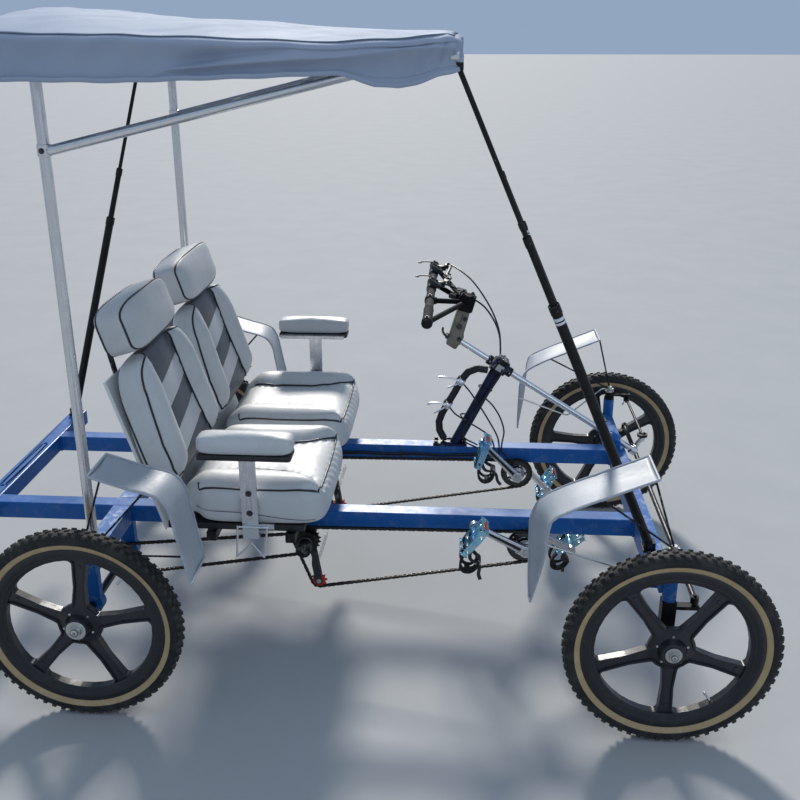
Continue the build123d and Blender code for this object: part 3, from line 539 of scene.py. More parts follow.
def vinyl(name, col, col2, dirt=(0.42, 0.40, 0.36), grain_scale=420, rough=0.42):
    """Marine vinyl: fine leather grain, faint soiling, soft sheen."""
    m, nt, b = new_mat(name)
    v = coords(nt)
    vo = N(nt, "ShaderNodeTexVoronoi", feature="DISTANCE_TO_EDGE")
    vo.inputs["Scale"].default_value = grain_scale
    vo.inputs["Randomness"].default_value = 1.0
    link(nt, v, vo.inputs["Vector"])
    pore = noise_tex(nt, v, grain_scale * 2.2, 3, 0.6)
    big = noise_tex(nt, v, 5, 4, 0.55)
    soil = noise_tex(nt, v, 16, 7, 0.68, 0.5)
    crease = noise_tex(nt, coords(nt, (1, 1, 1)), 60, 4, 0.6, 1.2)
    base = mixc(nt, fmap(nt, big, 0.35, 0.65, 0, 1), col, col2)
    base = mixc(nt, fmap(nt, soil, 0.52, 0.80, 0, 0.42), base, dirt)
    g = fmap(nt, vo.outputs["Distance"], 0.0, 0.12, 0.0, 1.0)
    base = mixc(nt, math_n(nt, "MULTIPLY", math_n(nt, "SUBTRACT", 1.0, g), 0.16), base, tuple(c * 0.55 for c in col))
    link(nt, base, b.inputs["Base Color"])
    link(nt, math_n(nt, "ADD", fmap(nt, soil, 0.3, 0.75, rough - 0.08, rough + 0.14), fmap(nt, pore, 0.3, 0.7, -0.04, 0.06)), b.inputs["Roughness"])
    b.inputs["Coat Weight"].default_value = 0.12
    b.inputs["Coat Roughness"].default_value = 0.3
    b.inputs["Sheen Weight"].default_value = 0.05
    nrm = bump(nt, g, 0.28, 0.0004)
    nrm = bump(nt, pore, 0.15, 0.0002, nrm)
    nrm = bump(nt, crease, 0.14, 0.0012, nrm)
    link(nt, nrm, b.inputs["Normal"])
    return m


VINYL = vinyl("seat_vinyl_light", (0.58, 0.59, 0.585), (0.64, 0.645, 0.64))
VINYL_DK = vinyl("seat_vinyl_dark", (0.075, 0.080, 0.092), (0.095, 0.10, 0.115), dirt=(0.16, 0.16, 0.16))
PIPING = plastic("piping_black", (0.010, 0.011, 0.016), rough=0.35, grain_scale=600, grain=0.2, dust=0.1)


def canvas(name, col, col2, weave=1500.0):
    """Coated canvas: tight plain weave under a thin coat, water marks and blotches of grime."""
    m, nt, b = new_mat(name)
    v = coords(nt)
    sep = N(nt, "ShaderNodeSeparateXYZ")
    link(nt, v, sep.inputs[0])
    wx = math_n(nt, "SINE", math_n(nt, "MULTIPLY", math_n(nt, "ADD", sep.outputs[0], math_n(nt, "MULTIPLY", sep.outputs[2], 0.35)), weave * 2.0))
    wy = math_n(nt, "SINE", math_n(nt, "MULTIPLY", math_n(nt, "ADD", sep.outputs[1], sep.outputs[2]), weave * 2.0))
    w = math_n(nt, "MULTIPLY", wx, wy)
    soil = noise_tex(nt, v, 4.5, 7, 0.66, 0.8)
    streak = noise_tex(nt, coords(nt, (9, 9, 1.2)), 3.0, 5, 0.6)
    fine = noise_tex(nt, v, 60, 5, 0.6, 0.6)
    base = mixc(nt, fmap(nt, soil, 0.3, 0.7, 0, 1), col, col2)
    base = mixc(nt, fmap(nt, streak, 0.56, 0.85, 0, 0.30), base, (0.42, 0.42, 0.40))
    base = mixc(nt, fmap(nt, fine, 0.62, 0.85, 0, 0.25), base, (0.36, 0.36, 0.34))
    link(nt, base, b.inputs["Base Color"])
    link(nt, fmap(nt, soil, 0.3, 0.7, 0.68, 0.80), b.inputs["Roughness"])
    b.inputs["Sheen Weight"].default_value = 0.04
    b.inputs["Specular IOR Level"].default_value = 0.20
    b.inputs["Sheen Roughness"].default_value = 0.5
    nrm = bump(nt, w, 0.10, 0.0003)
    nrm = bump(nt, fine, 0.20, 0.0015, nrm)
    link(nt, nrm, b.inputs["Normal"])
    return m


# painted shade: these canvas colours are darker and bluer than the light grey cloth, giving the whole canopy a blue
# shade in its own colour
CANVAS_PAINTED_SHADE = canvas("canopy_canvas_painted_shade", (0.355, 0.41, 0.505), (0.305, 0.36, 0.46))


def thin_sheet(name, col, col2):
    """Calendered plastic sheet of the fenders: satin, scuffed, with mud specks."""
    m, nt, b = new_mat(name)
    v = coords(nt)
    big = noise_tex(nt, v, 8, 5, 0.6)
    scuff = noise_tex(nt, coords(nt, (1, 6, 1)), 42, 6, 0.72, 0.5)
    spot = noise_tex(nt, v, 120, 2, 0.5)
    fine = noise_tex(nt, v, 700, 2, 0.5)
    base = mixc(nt, fmap(nt, big, 0.35, 0.65, 0, 1), col, col2)
    base = mixc(nt, fmap(nt, scuff, 0.54, 0.82, 0, 0.5), base, (0.34, 0.34, 0.33))
    base = mixc(nt, fmap(nt, spot, 0.70, 0.74, 0, 0.6), base, (0.12, 0.10, 0.075))
    link(nt, base, b.inputs["Base Color"])
    link(nt, fmap(nt, scuff, 0.3, 0.8, 0.36, 0.62), b.inputs["Roughness"])
    nrm = bump(nt, fine, 0.12, 0.0003)
    nrm = bump(nt, scuff, 0.12, 0.0008, nrm)
    link(nt, nrm, b.inputs["Normal"])
    return m


SHEET = thin_sheet("fender_sheet_grey", (0.42, 0.45, 0.485), (0.37, 0.40, 0.44))


def floor_mat():
    m, nt, b = new_mat("studio_floor")
    v = coords(nt)
    base = mixc(nt, fmap(nt, noise_tex(nt, v, 3, 5, 0.6), 0.35, 0.65, 0, 1), (0.42, 0.425, 0.42), (0.45, 0.45, 0.445))
    link(nt, base, b.inputs["Base Color"])
    b.inputs["Roughness"].default_value = 0.85
    return m


# ------------------------------------------------------------------ CAD pieces that keep their own shape
def finish_node(name, mat, bevel=0.0, sharp=None):
    o = NODES[name]
    o.data.materials.clear()
    o.data.materials.append(mat)
    if bevel:
        w = o.modifiers.new("weld", "WELD")
        w.merge_threshold = 0.00005
        b = o.modifiers.new("soft_edges", "BEVEL")
        b.width = bevel
        b.segments = 3
        b.limit_method = "ANGLE"
        b.angle_limit = math.radians(50)
        b.harden_normals = False
    return o


for n in ("long_beams", "front_crossbeam", "rear_axle_carrier", "rear_crossbeam"):
    finish_node(n, BLUE, bevel=0.004 if n in ("long_beams", "rear_crossbeam") else 0.0)
for n in ("seat_rails",):
    finish_node(n, BLACK, bevel=0.002)


def shell_mat_with_painted_shade():
    """White behind the backrests; the pan under the cushions is painted near-black as painted shade, standing in for
    the shadow beneath the cushions.
    """
    m = SHELL.copy()
    m.name = "seat_shell_painted_shade_pan"
    nt = m.node_tree
    b = nt.nodes["Principled BSDF"]
    old = b.inputs["Base Color"].links[0].from_socket
    sep = N(nt, "ShaderNodeSeparateXYZ")
    link(nt, coords(nt), sep.inputs[0])
    # painted shade: the pan's faces, below Z 0.438 and forward of X -0.4525, are mixed to near-black to stand in for
    # the shadow under the cushions
    low = math_n(nt, "MULTIPLY", fmap(nt, sep.outputs[2], 0.4381, 0.4385, 1, 0), fmap(nt, sep.outputs[0], -0.4530, -0.4525, 0, 1))
    link(nt, mixc(nt, low, old, (0.02, 0.02, 0.022)), b.inputs["Base Color"])
    return m


finish_node("seat_shells", shell_mat_with_painted_shade())
finish_node("armrest_posts", ALU_V)
finish_node("wire_bracket", CHROME)
finish_node("canopy_braces", CHROME)
for n in ("canopy_rails", "canopy_bows"):
    finish_node(n, ALU)
finish_node("canopy_poles", ALU_V)
finish_node("canopy_struts", BLACK)
finish_node("steering_post", NAVY)
finish_node("brake_hoop", PLASTIC)
finish_node("steering_shaft", CHROME)
finish_node("handlebar", BARBLACK)
for n in ("left_knuckle", "right_knuckle", "tie_rod", "drag_link", "crank_bearings", "drive_units"):
    finish_node(n, BLACK)
for n in ("left_crankset", "right_crankset", "left_crank_left_pedal", "left_crank_right_pedal", "right_crank_left_pedal", "right_crank_right_pedal"):
    finish_node(n, ALU)
finish_node("drive_chains", OILED)
for n in ("rear_left_axle", "rear_right_axle"):
    finish_node(n, DARKSTEEL)
for n in ("front_left_fender", "front_right_fender", "rear_fenders"):
    finish_node(n, SHEET)
for n in ("left_seat_cushion", "right_seat_cushion", "left_backrest", "right_backrest", "headrests", "armrest_pads"):
    finish_node(n, VINYL)
finish_node("canopy_cover", CANVAS_PAINTED_SHADE)
for c_ in ("front_left", "front_right", "rear_left", "rear_right"):
    finish_node(c_ + "_tyre", RUBBER)
    finish_node(c_ + "_rim", MAG)


# ------------------------------------------------------------------ padded pieces
def soft_box(size, p=6.0, n=26):
    """Closed rounded box of a grid on each face, centred on the origin."""
    bm = bmesh.new()
    bmesh.ops.create_cube(bm, size=2.0)
    bmesh.ops.subdivide_edges(bm, edges=bm.edges[:], cuts=n, use_grid_fill=True)
    bm.verts.index_update()
    V = np.array([v.co[:] for v in bm.verts])
    F = [tuple(v.index for v in f.verts) for f in bm.faces]
    bm.free()
    V = V / (np.abs(V) ** p).sum(1)[:, None] ** (1 / p)
    return V * (np.asarray(size) / 2), F, V


def smooth01(t):
    t = np.clip(t, 0, 1)
    return t * t * (3 - 2 * t)


def line_y(points, x):
    p = np.asarray(points, float)
    return np.interp(x, p[:, 0], p[:, 1])


def near_line(P, lines, reach):
    """Share 1 on the lines, falling to 0 at that distance."""
    out = np.zeros(len(P))
    for L in lines:
        L = np.asarray(L, float)
        d = np.full(len(P), 9.0)
        for a, b in zip(L[:-1], L[1:]):
            ab = b - a
            t = np.clip(((P - a) @ ab) / max(ab @ ab, 1e-12), 0, 1)
            d = np.minimum(d, np.linalg.norm(P - a - t[:, None] * ab, axis=1))
        out = np.maximum(out, 1 - smooth01(d / reach))
    return out


def puff(name, V, F, pins, voxel=0.0055, pressure=4.0, cap=0.012, frames=20, stiff=8.0):
    """Remeshes a closed form and blows it up as cloth between its sewn lines. Returns vertices and faces."""
    me = bpy.data.meshes.new(name + "_base")
    me.from_pydata(np.asarray(V).tolist(), [], F)
    o = bpy.data.objects.new(name + "_base", me)
    scene.collection.objects.link(o)
    r = o.modifiers.new("remesh", "REMESH")
    r.mode = "VOXEL"
    r.voxel_size = voxel * 1.0
    dg = bpy.context.evaluated_depsgraph_get()
    m2 = bpy.data.meshes.new_from_object(o.evaluated_get(dg))
    o.modifiers.clear()
    o.data = m2
    P0 = np.empty(len(m2.vertices) * 3)
    m2.vertices.foreach_get("co", P0)
    P0 = P0.reshape(-1, 3)
    g = o.vertex_groups.new(name="pin")
    w = pins(P0)
    for i, x in enumerate(w):
        if x > 0.02:
            g.add([i], float(min(1, x)), "REPLACE")
    c = o.modifiers.new("cloth", "CLOTH")
    s = c.settings
    s.quality = 4
    s.mass = 0.25
    s.tension_stiffness = s.compression_stiffness = stiff
    s.shear_stiffness = stiff * 0.5
    s.bending_stiffness = 0.6
    s.use_pressure = True
    s.uniform_pressure_force = pressure
    s.vertex_group_mass = "pin"
    s.pin_stiffness = 1.0
    s.effector_weights.gravity = 0.0
    c.collision_settings.use_collision = False
    c.point_cache.frame_start = 1
    c.point_cache.frame_end = frames
    for f in range(1, frames + 1):
        scene.frame_set(f)
    dg = bpy.context.evaluated_depsgraph_get()
    m3 = bpy.data.meshes.new_from_object(o.evaluated_get(dg))
    P1 = np.empty(len(m3.vertices) * 3)
    m3.vertices.foreach_get("co", P1)
    P1 = P1.reshape(-1, 3)
    o.modifiers.clear()
    scene.frame_set(1)
    d = P1 - P0
    n = np.linalg.norm(d, axis=1)
    d = d * np.minimum(1, cap / np.maximum(n, 1e-9))[:, None]
    P = P0 + np.where(np.isfinite(d), d, 0)
    faces = [tuple(p.vertices) for p in m2.polygons]
    bpy.data.objects.remove(o)
    return P, faces


def relax(P, F, keep, rounds=2, f=0.4):
    """Light smoothing that leaves the kept points."""
    E = np.array(sorted({tuple(sorted((a, b))) for q in F for a, b in zip(q, q[1:] + q[:1])}))
    n = np.bincount(E.ravel(), minlength=len(P)).astype(float)
    for _ in range(rounds):
        S = np.zeros_like(P)
        np.add.at(S, E[:, 0], P[E[:, 1]])
        np.add.at(S, E[:, 1], P[E[:, 0]])
        P = P + (S / n[:, None] - P) * (f * (1 - keep))[:, None]
    return P


def surface_of(P, F):
    return BVHTree.FromPolygons([Vector(p) for p in P], F)


def on_surface(tree, pts, direction, out=0.0):
    """Drops points onto the surface, going along the direction from 0.2 m before it."""
    d = Vector(direction).normalized()
    r = []
    for p in pts:
        p = Vector(p)
        hit = tree.ray_cast(p - d * 0.2, d, 0.5)
        if hit[0] is None:
            q = tree.find_nearest(p)
            hit = (q[0], q[1])
        r.append(hit[0] + (hit[1] if hit[1].dot(-d) > 0 else -hit[1]) * out)
    return np.array([x[:] for x in r])


def even(P, f=0.5, rounds=4, closed=False):
    """Evens out a line of points."""
    P = np.array(P)
    for _ in range(rounds):
        if closed:
            P = P + f * ((np.roll(P, 1, 0) + np.roll(P, -1, 0)) / 2 - P)
        else:
            P[1:-1] = P[1:-1] + f * ((P[:-2] + P[2:]) / 2 - P[1:-1])
    return P


def stitches(P, normal_from, pitch=0.006, length=0.0042, r=0.0006, lift=0.0008):
    """Separate thread stitches along a line."""
    out = Mesh()
    P = np.asarray(P)
    seg = np.linalg.norm(np.diff(P, axis=0), axis=1)
    s = np.concatenate([[0], np.cumsum(seg)])
    k = int(s[-1] / pitch)
    for i in range(k):
        a, b = i * pitch + 0.0008, i * pitch + 0.0008 + length
        pa = np.array([np.interp(a, s, P[:, j]) for j in range(3)])
        pb = np.array([np.interp(b, s, P[:, j]) for j in range(3)])
        nn = unit(normal_from(0.5 * (pa + pb)))
        out.add(tube([pa - nn * 0.0006, pa + (pb - pa) * 0.2 + nn * lift, pa + (pb - pa) * 0.8 + nn * lift, pb - nn * 0.0006], r, 5))
    return out


def banded_vinyl():
    """Middle panel of the backrest: light and dark bands with slanting, slightly bowed edges."""
    m = VINYL.copy()
    m.name = "seat_vinyl_banded"
    nt = m.node_tree
    b = nt.nodes["Principled BSDF"]
    old = b.inputs["Base Color"].links[0].from_socket
    v = coords(nt)
    sep = N(nt, "ShaderNodeSeparateXYZ")
    link(nt, v, sep.inputs[0])
    # across: distance from the seat's middle; up: distance along the backrest
    ay = math_n(nt, "ABSOLUTE", sep.outputs[1])
    sgn = math_n(nt, "SIGN", sep.outputs[1])
    u = math_n(nt, "MULTIPLY", math_n(nt, "SUBTRACT", ay, SEAT_Y), sgn)
    up = math_n(nt, "ADD", math_n(nt, "MULTIPLY", math_n(nt, "SUBTRACT", sep.outputs[0], BACK_P[0]), float(BACK_UP.x)),
                math_n(nt, "MULTIPLY", math_n(nt, "SUBTRACT", sep.outputs[2], BACK_P[1]), float(BACK_UP.z)))
    w = noise_tex(nt, v, 90, 2, 0.5)
    lv = math_n(nt, "SUBTRACT", up, math_n(nt, "MULTIPLY", u, 0.20))
    lv = math_n(nt, "ADD", lv, math_n(nt, "MULTIPLY", math_n(nt, "MULTIPLY", u, u), 0.9))
    lv = math_n(nt, "ADD", lv, math_n(nt, "MULTIPLY", math_n(nt, "SUBTRACT", w, 0.5), 0.0008))
    r = N(nt, "ShaderNodeValToRGB")
    r.color_ramp.interpolation = "CONSTANT"
    e = r.color_ramp.elements
    stops = [(0.0, 1), (0.074, 0), (0.132, 1), (0.188, 0), (0.252, 1)]
    while len(e) < len(stops):
        e.new(0.5)
    for i, (p, q) in enumerate(stops):
        e[i].position = p
        e[i].color = (q, q, q, 1)
    link(nt, lv, r.inputs["Fac"])
    dark = mixc(nt, fmap(nt, noise_tex(nt, v, 16, 6, 0.65), 0.35, 0.7, 0, 1), (0.060, 0.066, 0.078), (0.095, 0.10, 0.115))
    link(nt, mixc(nt, r.outputs["Color"], old, dark), b.inputs["Base Color"])
    # a welt of thread along each band's edge
    edge = None
    for p, q in stops[1:]:
        d = math_n(nt, "ABSOLUTE", math_n(nt, "SUBTRACT", lv, p))
        g = fmap(nt, d, 0.0, 0.0028, 1.0, 0.0)
        edge = g if edge is None else math_n(nt, "MAXIMUM", edge, g)
    nrm = b.inputs["Normal"].links[0].from_socket
    link(nt, bump(nt, edge, 0.8, -0.0016, nrm), b.inputs["Normal"])
    return m


VINYL_BAND = banded_vinyl()
THREAD = plastic("thread_grey", (0.30, 0.31, 0.32), rough=0.6, grain_scale=2000, grain=0.2)

# ---- seat cushions, in X, Y from the seat's middle, Z
CU_X0, CU_X1, CU_Z0, CU_Z1, CU_H = -0.388, -0.046, 0.440, 0.566, 0.219
INNER_Y = [(-0.39, 0.116), (-0.345, 0.094), (-0.28, 0.086), (-0.20, 0.087), (-0.135, 0.102), (-0.095, 0.128), (-0.068, 0.160), (-0.04, 0.165)]
OUTER_Y = [(-0.39, 0.188), (-0.34, 0.198), (-0.25, 0.202), (-0.15, 0.202), (-0.10, 0.198), (-0.075, 0.186), (-0.04, 0.17)]


def cushion_form():
    c = np.array([(CU_X0 + CU_X1) / 2, 0, (CU_Z0 + CU_Z1) / 2])
    V, F, U = soft_box((CU_X1 - CU_X0 - 0.012, 2 * CU_H - 0.012, CU_Z1 - CU_Z0 - 0.008), 7.0, 30)
    V = V + c
    x, y = V[:, 0], np.abs(V[:, 1])
    top = smooth01((U[:, 2] - 0.25) / 0.6)
    yi, yo = line_y(INNER_Y, x), line_y(OUTER_Y, x)
    chan = -0.021 + 0.008 * np.clip(1 - (y / yi) ** 2, 0, 1)
    t = np.clip((y - yi) / np.maximum(yo - yi, 0.004), 0, 1)
    bol = -0.021 + 0.023 * np.sin(np.pi * np.clip(t, 0, 1)) ** 0.7 + 0.010 * t
    h = np.where(y < yi, chan, bol)
    h = np.where(y > yo, -0.011 - 0.25 * (y - yo), h)
    front = smooth01((x + 0.105) / 0.045)
    h = h - 0.006 * front
    V[:, 2] += top * h
    # the front leans out a little towards its foot, and the sides draw in
    low = smooth01((CU_Z1 - V[:, 2] - 0.015) / 0.07)
    V[:, 0] += 0.012 * low * smooth01((x + 0.12) / 0.07) - 0.006 * smooth01((x + 0.12) / 0.07)
    V[:, 1] *= 1 - 0.020 * smooth01((0.475 - V[:, 2]) / 0.04)
    # the back end runs on under the backrest, a little lower
    tail = smooth01((-0.368 - V[:, 0]) / 0.016)
    V[:, 0] -= 0.042 * tail
    V[:, 2] -= 0.034 * tail * smooth01((V[:, 2] - 0.47) / 0.05)
    return V, F


def cushion_lines(tree):
    L = {}
    for s in (-1, 1):
        xs = np.linspace(-0.378, -0.068, 60)
        L["in", s] = even(on_surface(tree, [(x, s * line_y(INNER_Y, x), 0.56) for x in xs], (0, 0, -1)), rounds=3)
        xs = np.linspace(-0.378, -0.072, 60)
        L["out", s] = even(on_surface(tree, [(x, s * line_y(OUTER_Y, x), 0.56) for x in xs], (0, 0, -1)), rounds=3)
    ys = np.linspace(-0.184, 0.184, 60)
    L["front", 0] = even(on_surface(tree, [(-0.068 + 0.006 * (1 - (y / 0.18) ** 2), y, 0.56) for y in ys], (0, 0, -1)), rounds=3)
    for s in (-1, 1):
        pts = [(x, s * 0.25, 0.487 - 0.020 * smooth01((x + 0.30) / 0.22)) for x in np.linspace(-0.375, -0.075, 50)]
        L["low", s] = even(on_surface(tree, pts, (0, -s, 0)), rounds=3)
    return L


V0, F0 = cushion_form()
T0 = surface_of(V0, F0)
L0 = cushion_lines(T0)
seams = [v for v in L0.values()]
P1, F1 = puff("cushion", V0, F0, lambda P: np.maximum(near_line(P, seams, 0.011), smooth01((0.452 - P[:, 2]) / 0.010)), 0.0055, 4.0, 0.010)
keep = near_line(P1, seams, 0.008)
P1 = relax(P1, F1, keep, 2)
# sitting marks: soft wrinkles that run in from the seams
wr = 0.0012 * np.sin(P1[:, 0] * 260 + 3 * np.sin(P1[:, 1] * 40)) * near_line(P1, [L0["in", -1], L0["in", 1]], 0.035) * (1 - near_line(P1, [L0["in", -1], L0["in", 1]], 0.006)) * (P1[:, 2] > 0.52)
wr += 0.0016 * np.sin(P1[:, 1] * 180 + 4 * np.sin(P1[:, 2] * 60)) * smooth01((P1[:, 0] + 0.075) / 0.02) * smooth01((P1[:, 2] - 0.46) / 0.03)
P1[:, 2] += wr
T1 = surface_of(P1, F1)
L1 = cushion_lines(T1)


def shown_soft(name, P, F, mats, body, node, mat_of=None, sub=True, extra=()):
    M = Mesh()
    M.add((P, F), 0 if mat_of is None else mat_of)
    o = build(name, M, mats, body, sharp=180, replaces=[node] if isinstance(node, str) else node)
    return o


def face_centres(P, F):
    P = np.asarray(P)
    if all(len(f) == 4 for f in F):
        return P[np.array(F)].mean(1)
    return np.array([P[list(f)].mean(0) for f in F])


for side, s in (("left", 1), ("right", -1)):
    P = P1.copy()
    # each cushion has its own slight hollows
    P[:, 2] -= 0.004 * np.exp(-((P[:, 0] + 0.25 + 0.03 * s) ** 2 / 0.010 + (P[:, 1] - 0.03 * s) ** 2 / 0.014)) * (P[:, 2] > 0.52)
    P[:, 1] += s * SEAT_Y
    shown_soft(side + "_cushion", P, F1, VINYL, "chassis", side + "_seat_cushion")
    M = Mesh()
    T = surface_of(P, F1)
    Lx = {}
    for k, v in L1.items():
        q = v + [0, s * SEAT_Y, 0]
        Lx[k] = q
    for k in (("in", -1), ("in", 1), ("out", -1), ("out", 1), ("front", 0)):
        M.add(tube(Lx[k] + [0, 0, 0.0006], 0.0028, 10), 0)
    for k in (("low", -1), ("low", 1)):
        M.add(tube(Lx[k], 0.0011, 8), 1)
        M.add((lambda st: (np.concatenate(st.v), st.f))(stitches(Lx[k] + [0, 0, 0.0035], lambda p, kk=k: (0, kk[1], 0.0))), 2)
    build(side + "_cushion_piping", M, [PIPING, VINYL_DK, THREAD], "chassis", sharp=60)

# ---- backrests, in u across, v up the backrest, w out of its face
BK_H, BK_V, BK_T = 0.214, 0.334, 0.092
IN_U = [(-0.01, 0.165), (0.012, 0.150), (0.045, 0.118), (0.10, 0.106), (0.18, 0.102), (0.27, 0.100), (0.34, 0.097)]
OUT_U = [(-0.01, 0.170), (0.01, 0.182), (0.05, 0.200), (0.12, 0.203), (0.20, 0.197), (0.27, 0.188), (0.34, 0.180)]


def back_to_row(P, s):
    P = np.asarray(P)
    o = np.array([BACK_P[0], s * SEAT_Y, BACK_P[1]])
    return o + P[:, 0:1] * np.array([0, 1, 0]) + P[:, 1:2] * np.array(BACK_UP[:]) + P[:, 2:3] * np.array(BACK_OUT[:])


def back_form():
    V, F, U = soft_box((2 * BK_H - 0.010, BK_V - 0.008, BK_T - 0.006), 7.0, 30)
    V = V + [0, BK_V / 2, -BK_T / 2]
    u, v = np.abs(V[:, 0]), V[:, 1]
    front = smooth01((U[:, 2] - 0.25) / 0.6)
    ui, uo = line_y(IN_U, v), line_y(OUT_U, v)
    mid = -0.014 + 0.008 * np.clip(1 - (u / ui) ** 2, 0, 1)
    t = np.clip((u - ui) / np.maximum(uo - ui, 0.004), 0, 1)
    amp = 0.030 * smooth01(v / 0.07) * (1 - 0.35 * smooth01((v - 0.24) / 0.09))
    bol = -0.014 + amp * np.sin(np.pi * t) ** 0.7 + 0.010 * t
    h = np.where(u < ui, mid, bol)
    h = np.where(u > uo, -0.004 - 0.3 * (u - uo), h)
    # the top corners are cut round
    V[:, 2] += front * h
    k = smooth01((v - 0.235) / 0.10)
    V[:, 0] *= 1 - 0.085 * k ** 2
    # thinner towards the top
    V[:, 2] = np.where(V[:, 2] < -0.046, V[:, 2] + 0.018 * smooth01((v - 0.1) / 0.25), V[:, 2])
    return V, F


def back_lines(tree):
    L = {}
    for s in (-1, 1):
        L["in", s] = even(on_surface(tree, [(s * line_y(IN_U, v), v, 0.02) for v in np.linspace(0.012, 0.326, 60)], (0, 0, -1)), rounds=3)
    path = [(-line_y(OUT_U, v), v) for v in np.linspace(0.010, 0.262, 40)]
    path += [(-0.181, 0.285), (-0.168, 0.306), (-0.148, 0.319), (-0.12, 0.3245)]
    path = path + [(-u, v) for u, v in reversed(path)]
    q = curve([(u, v, 0.02) for u, v in path], 0.008)
    L["out", 0] = even(on_surface(tree, q, (0, 0, -1)), rounds=3)
    # back seam of the side boxing
    path = [(-0.2, 0.02), (-0.205, 0.12), (-0.198, 0.25), (-0.17, 0.318), (-0.10, 0.329)]
    path = path + [(-u, v) for u, v in reversed(path)]
    back = []
    for u, v, w in curve([(u, v, 0) for u, v in path], 0.010):
        d = unit((u, 0 if abs(u) > 0.19 else (v - 0.2) * 1.2, 0))
        h = tree.ray_cast(Vector((u, v, -0.070)) + Vector(d) * 0.1, -Vector(d), 0.3)
        if h[0]:
            back.append(h[0][:])
    L["back", 0] = even(back, rounds=4)
    return L


V0, F0 = back_form()
T0 = surface_of(V0, F0)
L0 = back_lines(T0)
seams = [v for v in L0.values()]
P2, F2 = puff("backrest", V0, F0, lambda P: np.maximum(near_line(P, seams, 0.011), smooth01((-0.082 - P[:, 2]) / 0.006) * 0.6), 0.0055, 4.0, 0.010)
P2 = relax(P2, F2, near_line(P2, seams, 0.008), 2)
wr = 0.0014 * np.sin(P2[:, 1] * 230 + 4 * np.sin(P2[:, 0] * 30)) * near_line(P2, [L0["in", -1], L0["in", 1]], 0.035) * (1 - near_line(P2, [L0["in", -1], L0["in", 1]], 0.006)) * (P2[:, 2] > -0.04)
P2[:, 2] += wr
T2 = surface_of(P2, F2)
L2 = back_lines(T2)
fc = face_centres(P2, F2)
in_panel = ((np.abs(fc[:, 0]) < line_y(IN_U, fc[:, 1])) & (fc[:, 2] > -0.045) & (fc[:, 1] > 0.004)).astype(int)
for side, s in (("left", 1), ("right", -1)):
    shown_soft(side + "_back", back_to_row(P2, s), F2, [VINYL, VINYL_BAND], "chassis", side + "_backrest", mat_of=in_panel)
    M = Mesh()
    for k, q in L2.items():
        M.add(tube(back_to_row(q + ([0, 0, 0.0006] if k[0] != "back" else [0, 0, 0]), s), 0.0028, 10), 0)
    build(side + "_back_piping", M, [PIPING], "chassis", sharp=60)

# ---- headrests
HR_W, HR_H, HR_T = 0.372, 0.134, 0.104
HR_V0, HR_OUT = 0.338, 0.016


def head_form():
    V, F, U = soft_box((HR_W - 0.010, HR_H - 0.006, HR_T - 0.008), 5.5, 26)
    V = V + [0, HR_V0 + HR_H / 2, HR_OUT - HR_T / 2]
    u = np.abs(V[:, 0]) / (HR_W / 2)
    # pillow: the ends narrow a little and the face is crowned
    V[:, 1] = HR_V0 + HR_H / 2 + (V[:, 1] - HR_V0 - HR_H / 2) * (1 - 0.10 * u ** 3)
    return V, F


def head_lines(tree):
    L = {}
    for key, w, d in (("front", HR_OUT - 0.012, 1), ("back", HR_OUT - HR_T + 0.018, -1)):
        loop = []
        for a in np.linspace(0, 2 * math.pi, 120, endpoint=False):
            c, sn = math.cos(a), math.sin(a)
            r = (abs(c) ** 6 + abs(sn) ** 6) ** (-1 / 6)
            p = Vector((c * r * HR_W / 2, HR_V0 + HR_H / 2 + sn * r * HR_H / 2, w))
            q = tree.find_nearest(p)
            loop.append(q[0][:])
        L[key, 0] = even(loop, rounds=5, closed=True)
    return L


V0, F0 = head_form()
T0 = surface_of(V0, F0)
L0 = head_lines(T0)
seams = [np.concatenate([v, v[:1]]) for v in L0.values()]
P3, F3 = puff("headrest", V0, F0, lambda P: near_line(P, seams, 0.011), 0.005, 4.0, 0.009)
P3 = relax(P3, F3, near_line(P3, seams, 0.008), 2)
T3 = surface_of(P3, F3)
L3 = head_lines(T3)
M = Mesh()
Mp = Mesh()
Ms = Mesh()
for s in (1, -1):
    M.add((back_to_row(P3, s), F3))
    for k, q in L3.items():
        Mp.add(tube(back_to_row(q, s), 0.0028, 10, closed=True), 0)
    # two slim brackets that carry the headrest behind the backrest
    for du in (-0.11, 0.11):
        path = [(du, 0.22, -0.096), (du, 0.30, -0.098), (du, 0.36, -0.092), (du, 0.40, -0.075)]
        Ms.add(tube(back_to_row(bent(path, 0.02), s), 1.0, 8, section=[(0.012, 0.0018), (-0.012, 0.0018), (-0.012, -0.0018), (0.012, -0.0018)], up=(0, 1, 0)))
        for v in (0.235, 0.262):
            Ms.add(hexhead(back_to_row(np.array([[du, v, -0.0985]]), s)[0], -np.array(BACK_OUT[:]), 0.005, 0.0035))
o = build("headrest_pads", M, VINYL, "chassis", sharp=180, replaces=["headrests"])
build("headrest_piping", Mp, [PIPING], "chassis", sharp=60)
build("headrest_brackets", Ms, [BLACK], "chassis")

# ---- armrest pads: side, X and Y of the middle, lift
PADS = [(1, -0.208, 0.505, 0.004), (-1, -0.228, 0.474, 0.0)]
PAD_L, PAD_W, PAD_H, PAD_Z = 0.236, 0.072, 0.047, 0.6644
V0, F0, U0 = soft_box((PAD_L - 0.006, PAD_W - 0.006, PAD_H - 0.003), 6.5, 20)
V0[:, 1] *= 1 - 0.05 * np.clip(U0[:, 2], 0, 1)
P4, F4 = puff("armrest", V0, F0, lambda P: smooth01((-0.014 - P[:, 2]) / 0.006), 0.0042, 4.0, 0.006)
P4 = relax(P4, F4, np.zeros(len(P4)), 2)
